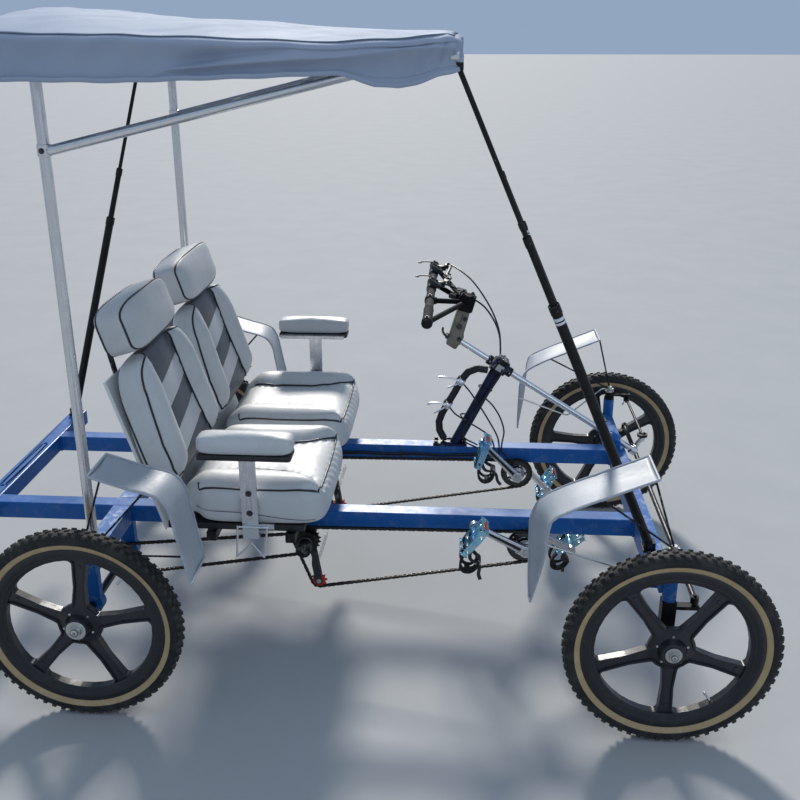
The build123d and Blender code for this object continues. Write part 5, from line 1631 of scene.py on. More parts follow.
def crank_arm(M, a, b, out, mats):
    """Forged arm from the axle a to the pedal eye b, its outer face towards `out`."""
    d = unit(b - a)
    L = np.linalg.norm(b - a)
    o = np.array([0, out, 0.0])
    w = np.cross(d, o)
    rings = []
    for t, hw, ht in ((0.00, 0.0120, 0.0068), (0.04, 0.0122, 0.0070), (0.14, 0.0118, 0.0068), (0.35, 0.0104, 0.0060), (0.65, 0.0092, 0.0055), (0.88, 0.0088, 0.0052), (0.96, 0.0088, 0.0052), (1.0, 0.0086, 0.0052)):
        c = a + d * L * t
        rings.append([c + w * hw * x + o * ht * z for x, z in ((-0.72, -1), (0.72, -1), (1, -0.72), (1, 0.72), (0.72, 1), (0.40, 1), (0.34, 0.70), (-0.34, 0.70), (-0.40, 1), (-0.72, 1), (-1, 0.72), (-1, -0.72))])
    V = np.array(rings).reshape(-1, 3)
    k, m = 12, len(rings)
    F, mt = [], []
    for i in range(m - 1):
        for j in range(k):
            F.append((i * k + j, i * k + (j + 1) % k, (i + 1) * k + (j + 1) % k, (i + 1) * k + j))
            mt.append(mats[1] if j == 6 and 0 < i < m - 3 else mats[0])
    F += [tuple(range(k))[::-1], tuple((m - 1) * k + j for j in range(k))]
    mt += [mats[0]] * 2
    M.add((V, F), mt)
    for c, r, h in ((a, 0.0162, 0.0084), (b, 0.0122, 0.0082)):
        M.add(lathe([(0, -h), (r - 0.0015, -h), (r, -h + 0.0015), (r, h - 0.0015), (r - 0.0015, h), (r * 0.62, h), (r * 0.58, h - 0.002), (0, h - 0.002)], 32, c, o, caps=False), mats[0])
    M.add(hexhead(a + o * 0.0062, o, 0.0078, 0.0045), mats[2])
    M.add(lathe([(0.0046, 0), (0.0044, 0.0026), (0.0022, 0.0028), (0.0018, 0.0012), (0, 0.0012)], 16, b + o * 0.0060, o, caps=False), mats[2])


TILT = {("left", -1): -70.0, ("left", 1): -58.0, ("right", -1): -50.0, ("right", 1): -36.0}


def oriented2(size, c, n):
    V, F = rbox(size, 0.0008, 1)
    return V @ np.stack(axes_from(n)) + np.asarray(c, float), F


def pedal_mesh(zs):
    """Local frame: Y along the axle (outwards is +Y), X fore, Z up."""
    M = Mesh()
    M.add(lathe([(0.0060, -0.0415), (0.0085, -0.0412), (0.0098, -0.0395), (0.0098, -0.033), (0.0082, -0.030), (0.0076, 0), (0.0082, 0.030), (0.0098, 0.033), (0.0098, 0.0385), (0.0090, 0.0410), (0, 0.0412)], 28, (0, 0, 0), (0, 1, 0), caps=False), 0)
    # fore and aft cage plates, toothed top and bottom, with long windows
    for sx in (-1, 1):
        out = []
        nt = 9
        for k in range(nt):
            y = -0.040 + 0.080 * k / nt
            q = 0.080 / nt
            out += [(y, 0.0090), (y + q * 0.22, 0.0118), (y + q * 0.62, 0.0118), (y + q * 0.86, 0.0090)]
        out += [(0.0405, 0.0085), (0.0405, -0.0085)]
        for k in range(nt - 1, -1, -1):
            y = -0.040 + 0.080 * k / nt
            q = 0.080 / nt
            out += [(y + q * 0.86, -0.0090), (y + q * 0.62, -0.0118), (y + q * 0.22, -0.0118), (y, -0.0090)]
        out += [(-0.0405, -0.0085), (-0.0405, 0.0085)]
        holes = []
        for c0, hw in ((-0.0295, 0.0082), (0.0295, 0.0082)):
            holes.append([(c0 + hw * math.cos(a) * 1.0, 0.0058 * math.sin(a)) for a in np.linspace(0, 2 * math.pi, 14, endpoint=False)])
        V, F = prism(out[::-1], 0.0018, 0.0, 1, holes=holes)
        M.add((np.stack([V[:, 2] + sx * 0.0425, V[:, 0], V[:, 1]], 1), F), 0)
        # amber reflector in its dark carrier
        c0 = np.array([sx * 0.0405, 0, 0])
        v, f = rbox((0.0060, 0.0400, 0.0150), 0.0015, 1)
        M.add((v + c0, f), 2)
        v, f = rbox((0.0026, 0.0360, 0.0115), 0.0008, 1)
        M.add((v + c0 + np.array([sx * 0.0030, 0, 0]), f), 1)
        # ribs on the amber face
        for k in range(7):
            M.add(tube([c0 + np.array([sx * 0.0044, -0.015 + 0.005 * k, -0.0048]), c0 + np.array([sx * 0.0044, -0.015 + 0.005 * k, 0.0048])], 0.0008, 5), 1)
    # end bars and the middle bridge, with two round lightening holes each
    for yc, wid in ((-0.0385, 0.0035), (0.0385, 0.0035), (0.0, 0.0030)):
        out = [(-0.0425, 0.0055), (-0.018, 0.0095), (0.018, 0.0095), (0.0425, 0.0055), (0.0425, -0.0055), (0.018, -0.0095), (-0.018, -0.0095), (-0.0425, -0.0055)]
        holes = [[(cx + 0.0042 * math.cos(a), 0.0042 * math.sin(a)) for a in np.linspace(0, 2 * math.pi, 14, endpoint=False)] for cx in (-0.027, 0.027)]
        V, F = prism(out, wid, 0.0, 1, holes=holes)
        M.add((np.stack([V[:, 0], V[:, 2] + yc, V[:, 1]], 1), F), 0)
    for sx in (-1, 1):
        for yc in (-0.028, 0.028):
            M.add(hexhead((sx * 0.0433, yc + 0.011 * (1 if yc > 0 else -1) * 0.6, 0.0), (sx, 0, 0), 0.0024, 0.0018, washer=False), 3)
    # toe clip: moulded black hoop hanging under the rear plate, with its strap
    dn, rt = np.array([-0.77, 0, -0.64 * zs]), np.array([0.64, 0, -0.77 * zs])
    flat = [(0.0030, 0.0070), (0.0010, 0.0078), (-0.0030, 0.0070), (-0.0030, -0.0070), (0.0010, -0.0078), (0.0030, -0.0070)]
    ends = []
    for yo in (-0.027, 0.027):
        p0 = np.array([-0.0440, yo, 0.0])
        P = [p0 + rt * 0.004, p0 + dn * 0.016 - rt * 0.003, p0 + dn * 0.038 - rt * 0.005 - np.array([0, yo * 0.10, 0]), p0 + dn * 0.052 + rt * 0.004 - np.array([0, yo * 0.25, 0]), p0 + dn * 0.054 + rt * 0.020 - np.array([0, yo * 0.35, 0]), p0 + dn * 0.044 + rt * 0.033 - np.array([0, yo * 0.40, 0]), p0 + dn * 0.026 + rt * 0.040 - np.array([0, yo * 0.42, 0])]
        C = curve([np.array(q) for q in P], 0.005)
        M.add(tube(C, 1.0, up=(0, 1, 0), section=[(b, a) for a, b in flat]), 4)
        ends.append(C[-1])
        M.add(oriented2((0.012, 0.012, 0.003), p0 + rt * 0.002, (-1, 0, 0)), 4)
    M.add(tube([ends[0], ends[1]], 1.0, up=(1, 0, 0), section=flat), 4)
    mid0 = np.array([-0.0440, 0, 0.0]) + dn * 0.054 + rt * 0.012
    M.add(tube([mid0 + np.array([0, -0.019, 0]), mid0 + np.array([0, 0.019, 0])], 1.0, up=(1, 0, 0), section=flat), 4)
    # strap round the hoop and through the cage, its tail left hanging
    e = ends[1]
    strap = curve([np.array([-0.010, 0.034, 0.0]), np.array([-0.016, 0.037, 0.0]) + dn * 0.014, np.array([-0.018, 0.030, 0.0]) + dn * 0.034 + rt * 0.004, e + dn * 0.004, 0.5 * (ends[0] + ends[1]) + dn * 0.005, ends[0] + dn * 0.004, np.array([-0.018, -0.030, 0.0]) + dn * 0.034 + rt * 0.004, np.array([-0.014, -0.037, 0.0]) + dn * 0.012, np.array([-0.010, -0.034, 0.0])], 0.005)
    M.add(tube(strap, 1.0, up=(0.3, 0, 1), section=[(0.0048, 0.0008), (-0.0048, 0.0008), (-0.0048, -0.0008), (0.0048, -0.0008)]), 5)
    tail = curve([e + dn * 0.004, e + dn * 0.020 + rt * 0.004, e + dn * 0.038 + rt * 0.002, e + dn * 0.054 + rt * 0.007], 0.005)
    M.add(tube(tail, 1.0, up=(0, 1, 0), section=[(0.0008, 0.0046), (-0.0008, 0.0046), (-0.0008, -0.0046), (0.0008, -0.0046)]), 5)
    v, f = rbox((0.014, 0.006, 0.012), 0.001, 1)
    M.add((v + e + dn * 0.006, f), 3)
    return M


STRAP = plastic("strap_webbing", (0.018, 0.018, 0.020), rough=0.75, grain_scale=1400, grain=0.5, vary=0.3, dust=0.45, dust_col=(0.14, 0.13, 0.11))
PEDS = {k: pedal_mesh(k) for k in (-1, 1)}
for side, s, deg in (("left", 1, 135.0), ("right", -1, 153.0)):
    yb = s * BEAMY
    a = math.radians(deg)
    M = Mesh()
    y0 = CH_Y[side]
    M.add(toothed((BBX, BBZ), 0.044, y0, 22, 0.0042, PINS[side][0], 0.0225, windows=5, arm=0.0050), 0)
    # thin guard beside it
    M.add(lathe([(0.0470, -0.0009), (0.0486, -0.0005), (0.0486, 0.0005), (0.0470, 0.0009), (0.0400, 0.0009), (0.0400, -0.0009)], 72, (BBX, y0 + 0.0068 * (1 if y0 < yb else -1), BBZ), (0, 1, 0), closed=True), 0)
    M.add(lathe([(0.0125, -0.0100), (0.0205, -0.0085), (0.0215, -0.004), (0.0215, 0.004), (0.0205, 0.0085), (0.0125, 0.0100)], 36, (BBX, y0, BBZ), (0, 1, 0), closed=True), 1)
    for rr in (0.0150, 0.0185, 0.0222):
        for k in (-1, 1):
            M.add(tube([(BBX + rr * math.cos(t), y0 + k * 0.0094, BBZ + rr * math.sin(t)) for t in np.linspace(0, 2 * math.pi, 40, endpoint=False)], 0.0009, 6, closed=True, up=(0, 1, 0)), 3)
    for i in range(5):
        aa = math.radians(72 * i)
        for k in (-1, 1):
            M.add(hexhead((BBX + 0.0285 * math.cos(aa), y0 + k * 0.0026, BBZ + 0.0285 * math.sin(aa)), (0, k, 0), 0.0032, 0.0024, washer=False), 2)
    # spindle
    M.add(lathe([(0.0119, -0.064), (0.0119, 0.064)], 32, (BBX, yb, BBZ), (0, 1, 0)), 2)
    for k in (-1, 1):
        ya = yb + k * 0.070
        A = np.array([BBX, ya, BBZ])
        B = np.array([BBX - k * CR_L * math.cos(a), ya, BBZ - k * CR_L * math.sin(a)])
        crank_arm(M, A, B, k, (3, 4, 2))
        M.add(lathe([(0.0044, 0), (0.0044, 0.018), (0.0062, 0.0185), (0.0062, 0.0215), (0.0044, 0.022), (0.0044, 0.104)], 20, B + np.array([0, k * 0.008, 0]), (0, k, 0)), 2)
    build(side + "_crank_assembly", M, [DARKSTEEL, OILED, ZINC, ALU, PLASTIC], side + "_crank", sharp=34, replaces=[side + "_crankset"])
    for k in (-1, 1):
        ex, ez = BBX - k * CR_L * math.cos(a), BBZ - k * CR_L * math.sin(a)
        t = math.radians(TILT[(side, k)])
        m = np.eye(4)
        # build123d turn about +Y by t, then outwards is +k Y
        m[:3, 0] = np.array([math.cos(t), 0, -math.sin(t)])
        m[:3, 1] = np.array([0, k, 0])
        m[:3, 2] = np.cross(m[:3, 0], m[:3, 1])
        m[:3, 3] = (ex, yb + k * 0.130, ez)
        which = side + "_crank_" + ("right" if k < 0 else "left") + "_pedal"
        M = Mesh()
        M.add((np.concatenate(PEDS[k].v), PEDS[k].f), PEDS[k].m, m)
        build(which + "_cage", M, [PEDAL, REFLECTOR, PLASTIC, ZINC, GRIP, STRAP], which, sharp=34, replaces=[which])


# ------------------------------------------------------------------ steering and brake levers
SY = 0.228
BARX, BARZ, BARH = 0.186, 0.882, 0.345
HUB = np.array([0.289, SY, 0.851])
GREYBROWN = metal("cast_stem", (0.30, 0.27, 0.225), rough=0.48, grain=0.45, tarnish=0.55, tint=(0.17, 0.145, 0.11))


def oriented(size, origin, zdir, xdir, bevel=0.002, seg=2):
    z = unit(np.asarray(zdir, float))
    x = np.asarray(xdir, float)
    x = unit(x - z * (x @ z))
    y = np.cross(z, x)
    V, F = rbox(size, bevel, seg)
    return V @ np.stack([x, y, z]) + np.asarray(origin, float), F


# rubber foam over the whole bar, ribbed grips at its ends, end plugs
M = Mesh()
prof = []
y = -BARH + 0.002
prof.append((0.0080, -BARH - 0.0015))
prof.append((0.0120, -BARH - 0.0010))
nrib = 15
for k in range(nrib):
    y0 = -BARH + 0.006 + 0.124 * k / nrib
    w = 0.124 / nrib
    prof += [(0.0129, y0), (0.0134, y0 + w * 0.25), (0.0134, y0 + w * 0.60), (0.0128, y0 + w * 0.80)]
prof += [(0.0136, -BARH + 0.1315), (0.0140, -BARH + 0.1325), (0.0140, -BARH + 0.1365), (0.0126, -BARH + 0.1375)]
half = prof + [(0.0123, -BARH + 0.145), (0.0122, -0.120)]
full = half + [(r, -z) for r, z in half[::-1]]
M.add(lathe(full, 30, (BARX, SY, BARZ), (0, 1, 0)), 0)
build("bar_grips", M, [GRIP], "steering", sharp=28)

# clamps where the rods meet the bar, and the split block at the hub
M = Mesh()
for s in (-1, 1):
    for reach, hw in ((0.105, 0.011), (BARH - 0.014, 0.010)):
        p = np.array([BARX, SY + s * reach, BARZ])
        M.add(lathe([(0.0140, -hw), (0.0152, -hw + 0.0012), (0.0152, hw - 0.0012), (0.0140, hw)], 28, p, (0, 1, 0)), 0)
        d = unit(HUB - p)
        M.add(lathe([(0.0100, 0.010), (0.0104, 0.018), (0.0088, 0.025), (0.0081, 0.026)], 20, p, d, caps=False), 0)
        M.add(hexhead(p + np.array([0, 0, 0.0146]), (0, 0, 1), 0.0038, 0.0035), 1)
        M.add(weld_bead([p + d * 0.0215 + 0.0090 * (math.cos(t) * np.cross(d, (0, 0, 1.0)) + math.sin(t) * np.cross(d, np.cross(d, (0, 0, 1.0)))) for t in np.linspace(0, 2 * math.pi, 22, endpoint=False)], 0.0016, True, 3), 0)
SDIR = unit(np.array([0.025, 0, 0.091]))
SX = unit(np.cross((0, 1.0, 0), SDIR))
M.add(oriented((0.048, 0.054, 0.048), HUB + np.array([0.001, 0, 0.0]), SDIR, SX, 0.006, 3), 0)
M.add(oriented((0.0500, 0.0015, 0.050), HUB + np.array([0.001, 0, 0.0]), SDIR, SX, 0.0005, 1), 0)
for sx in (-1, 1):
    for s in (-1, 1):
        M.add(hexhead(HUB + SX * 0.014 * sx + SDIR * 0.0250 + np.array([0, s * 0.018, 0]), SDIR, 0.0042, 0.004), 1)
build("bar_clamps", M, [BARBLACK, DARKSTEEL], "steering", sharp=35)

# cast stem round the upright, with its deep socket, slot and pinch lever
M = Mesh()
A, B = np.array([0.259, SY, 0.740]), np.array([0.284, SY, 0.831])
L = np.linalg.norm(B - A)
out = []
for t, wx in ((-0.012, 0.0180), (0.004, 0.0200), (0.050, 0.0196), (0.078, 0.0190), (L - 0.004, 0.0186)):
    out.append((t, wx))
rings = []
for t, wx in out:
    c = A + SDIR * t
    rings.append([c + SX * wx * x + np.array([0, 1.0, 0]) * 0.0225 * yv for x, yv in ((-0.80, -1), (0.80, -1), (1, -0.80), (1, 0.80), (0.80, 1), (-0.80, 1), (-1, 0.80), (-1, -0.80))])
V = np.array(rings).reshape(-1, 3)
m = len(rings)
F = [(i * 8 + j, i * 8 + (j + 1) % 8, (i + 1) * 8 + (j + 1) % 8, (i + 1) * 8 + j) for i in range(m - 1) for j in range(8)] + [tuple(range(8))[::-1], tuple((m - 1) * 8 + j for j in range(8))]
M.add((V, F), 0)
for s in (-1, 1):
    q = A + SDIR * 0.045 + np.array([0, s * 0.0228, 0])
    M.add(lathe([(0.0128, -0.002), (0.0128, 0.0012), (0.0118, 0.0020), (0.0095, 0.0020), (0.0090, 0.0004), (0, 0.0004)], 28, q, (0, s, 0), caps=False), [0] * (28 * 3) + [1] * (28 * 2))
    M.add(oriented((0.0030, 0.0006, 0.030), A + SDIR * 0.068 + np.array([0, s * 0.0226, 0]), SDIR, SX, 0.0002, 1), 1)
    for t in (0.006, 0.070):
        M.add(hexhead(A + SDIR * t + SX * 0.011 + np.array([0, s * 0.0226, 0]), (0, s, 0), 0.0046, 0.0035), 2)
# lower pinch block on the shaft's end with a little lever
D2 = np.array([0.84643, 0, -0.532501])
M.add(oriented((0.040, 0.050, 0.036), A + D2 * 0.001 - SDIR * 0.002, D2, (0, 1.0, 0), 0.006, 3), 0)
M.add(lathe([(0.0052, -0.014), (0.0058, -0.013), (0.0058, 0.013), (0.0052, 0.014)], 16, A + np.array([-0.024, 0, 0.006]), (0, 1, 0)), 2)
M.add(tube(curve([A + np.array([-0.024, -0.010, 0.006]), A + np.array([-0.032, -0.012, 0.014]), A + np.array([-0.037, -0.012, 0.026]), A + np.array([-0.036, -0.012, 0.036])], 0.004), [0.0036] * 3 + [0.0030] * 40 if False else 0.0033, 10), 1)
build("cast_stem_block", M, [GREYBROWN, DARKSTEEL, DARKSTEEL], "steering", sharp=35)

# collars along the shaft
M = Mesh()


def on_sh(t):
    return np.array([0.259, SY, 0.740]) + D2 * t


T_HEAD = (0.395 - 0.259) / 0.84643
for t, r, hw in ((T_HEAD - 0.035, 0.0150, 0.007), (T_HEAD + 0.035, 0.0150, 0.007), (0.575, 0.0140, 0.006)):
    M.add(lathe([(0.0092, -hw), (r - 0.001, -hw), (r, -hw + 0.001), (r, hw - 0.001), (r - 0.001, hw), (0.0092, hw)], 28, on_sh(t), D2), 0)
    M.add(hexhead(on_sh(t) + np.array([0, -r + 0.001, 0]), (0, -1, 0), 0.0028, 0.0024, washer=False), 1)
build("shaft_collars", M, [BLACK, ZINC], "steering", sharp=35)

# head: black clamp with its square zinc plate and bolts, base plate's bolts and welds
M = Mesh()
HD = on_sh(T_HEAD)
U2 = np.array([0.532501, 0, 0.84643])
M.add(oriented((0.046, 0.050, 0.030), HD, D2, U2, 0.003, 2), 0)
M.add(oriented((0.020, 0.0025, 0.022), HD + np.array([0, -0.0262, 0]), D2, U2, 0.0008, 1), 1)
M.add(oriented((0.0045, 0.050, 0.034), HD + U2 * 0.0248, D2, U2, 0.001, 1), 0)
for s in (-1, 1):
    M.add(hexhead(HD + U2 * 0.0270 + np.array([0, s * 0.019, 0]), U2, 0.0050, 0.0045), 1)
M.add(hexhead(HD + np.array([0, -0.0275, 0]), (0, -1, 0), 0.0055, 0.0040), 1)
for sx in (-1, 1):
    for s in (-1, 1):
        M.add(hexhead((0.250 + sx * 0.043, SY + s * 0.015, 0.404), (0, 0, 1), 0.0062, 0.0052), 0)
M.add(weld_bead([(0.250 + 0.023 * math.cos(a) + 0.002, SY + 0.0185 * math.sin(a), 0.4055) for a in np.linspace(0, 2 * math.pi, 40, endpoint=False)], 0.0026, True, 5), 2)
build("post_head_clamp", M, [BLACK, ZINC, NAVY], "chassis", sharp=35)


def lever_set(M, c, side, fwd=(1, 0, 0.12), length=0.118, blade=0, body=1):
    """Brake lever: perch clamp round the bar at c, body in front, blade back along the bar."""
    f = unit(np.array(fwd, float))
    y = np.array([0, 1.0, 0])
    M.add(lathe([(0.0132, -0.009), (0.0146, -0.008), (0.0146, 0.008), (0.0132, 0.009)], 26, c, (0, 1, 0)), body)
    M.add(oriented((0.030, 0.020, 0.016), c + f * 0.026, (0, 0, 1), f, 0.003, 2), body)
    M.add(oriented((0.018, 0.034, 0.014), c + f * 0.046 + y * side * 0.004, (0, 0, 1), f, 0.003, 2), body)
    piv = c + f * 0.050 + y * side * 0.014
    M.add(hexhead(piv + np.array([0, 0, 0.007]), (0, 0, 1), 0.0042, 0.003), 2)
    P = curve([piv + np.array([-0.004, 0, 0]), piv + y * side * 0.018 + f * 0.006, piv + y * side * (length * 0.55) + f * 0.002 + np.array([0, 0, -0.002]), piv + y * side * (length * 0.85) - f * 0.004 + np.array([0, 0, -0.005]), piv + y * side * length + f * 0.003 + np.array([0, 0, -0.007])], 0.006)
    k = len(P)
    rr = np.interp(np.linspace(0, 1, k), [0, 0.2, 0.85, 1], [1.05, 0.9, 0.85, 1.0])
    M.add(tube(P, rr, up=(0, 0, 1), section=[(0.0042 * math.cos(a), 0.0062 * math.sin(a)) for a in np.linspace(0, 2 * math.pi, 12, endpoint=False)]), blade)
    # barrel adjuster for the cable
    a = c + f * 0.046 + y * (-side) * 0.012
    M.add(lathe([(0.0045, 0), (0.0055, 0.002), (0.0055, 0.010), (0.0040, 0.012), (0.0034, 0.018)], 14, a, y * (-side)), 2)
    return a + y * (-side) * 0.018


M = Mesh()
bar = lambda dy: np.array([BARX, SY + dy, BARZ])
ex1 = lever_set(M, bar(0.262), -1, (1, 0, 0.42), 0.112)
ex2 = lever_set(M, bar(0.062), 1, (1, 0, 0.30), 0.105)
# shifter pods on top of the bar: round housing, thumb lever and clamp
for dy, sgn in ((0.214, 1), (0.028, 1)):
    c = bar(dy)
    M.add(lathe([(0.0132, -0.010), (0.0148, -0.009), (0.0148, 0.009), (0.0132, 0.010)], 26, c, (0, 1, 0)), 1)
    d = unit(np.array([0.55, 0, 0.84]))
    M.add(lathe([(0.0175, 0), (0.0205, 0.002), (0.0205, 0.011), (0.0180, 0.014), (0.0070, 0.0155), (0, 0.0155)], 30, c + d * 0.013, d, caps=False), 1)
    M.add(hexhead(c + d * 0.0285, d, 0.0042, 0.003), 2)
    M.add(tube(curve([c + d * 0.028, c + d * 0.032 + np.array([-0.020, sgn * 0.004, 0.010]), c + d * 0.034 + np.array([-0.046, sgn * 0.010, 0.010]), c + d * 0.034 + np.array([-0.062, sgn * 0.014, 0.006])], 0.005), 1.0, up=(0, 0, 1), section=[(0.0016, 0.0032), (-0.0016, 0.0032), (-0.0016, -0.0032), (0.0016, -0.0032)]), 1)
    M.add(oriented((0.010, 0.012, 0.004), c + d * 0.034 + np.array([-0.062, sgn * 0.014, 0.006]), (0, 0, 1), (1, 0, 0), 0.0012, 1), 1)
# index plates by the hub, in dark alloy
M.add(oriented((0.030, 0.036, 0.003), HUB + np.array([-0.012, 0.030, 0.0285]), SDIR, SX, 0.001, 1), 0)
M.add(oriented((0.022, 0.018, 0.012), HUB + np.array([-0.040, 0.018, 0.012]), SDIR, SX, 0.002, 1), 0)
build("bar_levers", M, [DARKALU, PLASTIC, DARKSTEEL], "steering", sharp=35)

# control cables from the bar down to the head
END = HD + U2 * 0.026 + np.array([0, -0.004, 0])
for i, (st, mid, off) in enumerate((
        (ex1, [(0.262, 0.470, 0.896), (0.304, 0.405, 0.878), (0.344, 0.330, 0.843), (0.374, 0.272, 0.802), (0.391, 0.240, 0.758)], -0.006),
        (ex2, [(0.272, 0.268, 0.874), (0.304, 0.254, 0.857), (0.344, 0.234, 0.834), (0.374, 0.225, 0.794), (0.391, 0.226, 0.750)], 0.006))):
    e = np.array([0.3955, SY + off, 0.6895])
    P = curve([st] + [np.array(p) + np.array([0, off, 0]) for p in mid] + [e + np.array([0, 0, 0.020]), e], 0.008)
    M = Mesh()
    M.add(tube(P, 0.0026, 10), 0)
    o = build("bar_cable_%d" % (i + 1), M, [CABLE], None, sharp=60)
    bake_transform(o)
M = Mesh()
for off in (-0.006, 0.006):
    e = np.array([0.3955, SY + off, 0.6895])
    M.add(lathe([(0.0032, 0.006), (0.0036, 0.004), (0.0036, -0.010), (0.0042, -0.012), (0.0042, -0.020)], 14, e, (0, 0, 1)), 0)
    # the housings go on under the clamp, down the front of the post to the beam
    P = curve([e + np.array([0, 0, -0.016]), e + np.array([0.006, -0.024, -0.040]), e + np.array([-0.020, -0.030, -0.090]), e + np.array([-0.062, -0.029, -0.160]), e + np.array([-0.098, -0.028, -0.225]), e + np.array([-0.104, -0.030 + off, -0.262]), e + np.array([-0.060, -0.031 + off, -0.288])], 0.010)
    M.add(tube(P, 0.0026, 10), 1)
for t in (0.35, 0.72):
    c = np.array([0.250, SY, 0.396]) * (1 - t) + HD * t
    M.add(tube([c + np.array([0.0195 * math.cos(a), 0.0215 * math.sin(a), 0.0120 * math.cos(a) * -0.5]) for a in np.linspace(0, 2 * math.pi, 30, endpoint=False)], 1.0, closed=True, up=(0, 0, 1), section=[(0.0010, 0.0026), (-0.0010, 0.0026), (-0.0010, -0.0026), (0.0010, -0.0026)]), 2)
build("post_cables", M, [ZINC, CABLE, PLASTIC], "chassis", sharp=50)

# hoop: two silver levers with clamps and their cables
M = Mesh()
HOOPP = [np.array([x, SY, z]) for x, z in ((0.280, 0.606), (0.241, 0.530))]
for c, dirv, tip, L2 in ((HOOPP[0], unit(np.array([0.57, 0, 0.82])), np.array([-0.93, -0.10, 0.30]), 0.072), (HOOPP[1], unit(np.array([0.46, 0, 0.89])), np.array([-0.98, -0.12, 0.14]), 0.064)):
    M.add(lathe([(0.0112, -0.009), (0.0140, -0.008), (0.0140, 0.008), (0.0112, 0.009)], 24, c, dirv), 1)
    side = np.array([0, -1.0, 0])
    q = c + side * 0.017
    M.add(oriented((0.020, 0.014, 0.020), q, dirv, (1, 0, 0), 0.003, 2), 0)
    M.add(lathe([(0.0088, 0), (0.0094, 0.002), (0.0094, 0.005), (0.0060, 0.0075), (0, 0.0080)], 22, q + side * 0.006, side, caps=False), 0)
    t = unit(tip)
    P = curve([q, q + t * 0.022 + np.array([0, 0, 0.004]), q + t * 0.048 + np.array([0, 0, 0.002]), q + t * L2 + np.array([0, 0, -0.004])], 0.005)
    k = len(P)
    rr = np.interp(np.linspace(0, 1, k), [0, 0.3, 0.9, 1], [1.1, 0.85, 0.9, 0.6])
    M.add(tube(P, rr, up=(0, 0, 1), section=[(0.0034 * math.cos(a), 0.0066 * math.sin(a)) for a in np.linspace(0, 2 * math.pi, 12, endpoint=False)]), 0)
    P = curve([q + side * 0.004, q + t * 0.020 + np.array([0, 0, -0.016]), q + t * 0.044 + np.array([0, -0.002, -0.030])], 0.005)
    M.add(tube(P, 0.0028, 8), 0)
build("hoop_levers", M, [ALU, PLASTIC], "chassis", sharp=35)
M = Mesh()
yc = SY - 0.026
for pts in (
        [(0.284, SY - 0.016, 0.603), (0.303, yc, 0.585), (0.341, yc, 0.529), (0.372, yc, 0.478), (0.396, yc, 0.432), (0.402, yc - 0.001, 0.400), (0.402, yc - 0.001, 0.372)],
        [(0.356, SY - 0.022, 0.556), (0.376, yc, 0.538), (0.402, yc, 0.496), (0.415, yc, 0.450), (0.411, yc - 0.001, 0.420), (0.410, yc - 0.001, 0.385), (0.430, yc - 0.001, 0.366)],
        [(0.246, SY - 0.016, 0.526), (0.262, yc, 0.508), (0.308, yc, 0.478), (0.345, yc, 0.455), (0.372, yc, 0.434), (0.386, yc - 0.001, 0.402), (0.384, yc - 0.001, 0.372)]):
    M.add(tube(curve([np.array(p) for p in pts], 0.010), 0.0025, 9), 0)
# run under the beam's near side, held by clips, to the axle carriers
for k, z in enumerate((0.372, 0.365)):
    P = [np.array([0.384 + 0.018 * (1 - k), yc - 0.001, z])]
    for i in range(1, 13):
        x = 0.384 + (-0.600 - 0.384) * i / 12
        P.append(np.array([x, yc - 0.0012, z + (0.0015 if i % 2 else -0.0025)]))
    M.add(tube(curve(P, 0.03), 0.0025, 8), 0)
for x in (0.33, 0.10, -0.20, -0.45):
    M.add(oriented((0.010, 0.0042, 0.022), (x, SY - 0.0262, 0.3685), (0, 0, 1), (1, 0, 0), 0.001, 1), 1)
build("brake_cables", M, [CABLE, PLASTIC], "chassis", sharp=50)


# ------------------------------------------------------------------ fenders
HEM = plastic("fender_hem_grey", (0.36, 0.385, 0.42), rough=0.5, grain_scale=300, grain=0.4, vary=0.15, dust=0.3, dust_col=(0.22, 0.22, 0.21))
FEND_Y = {"front": 0.611, "rear": 0.606}


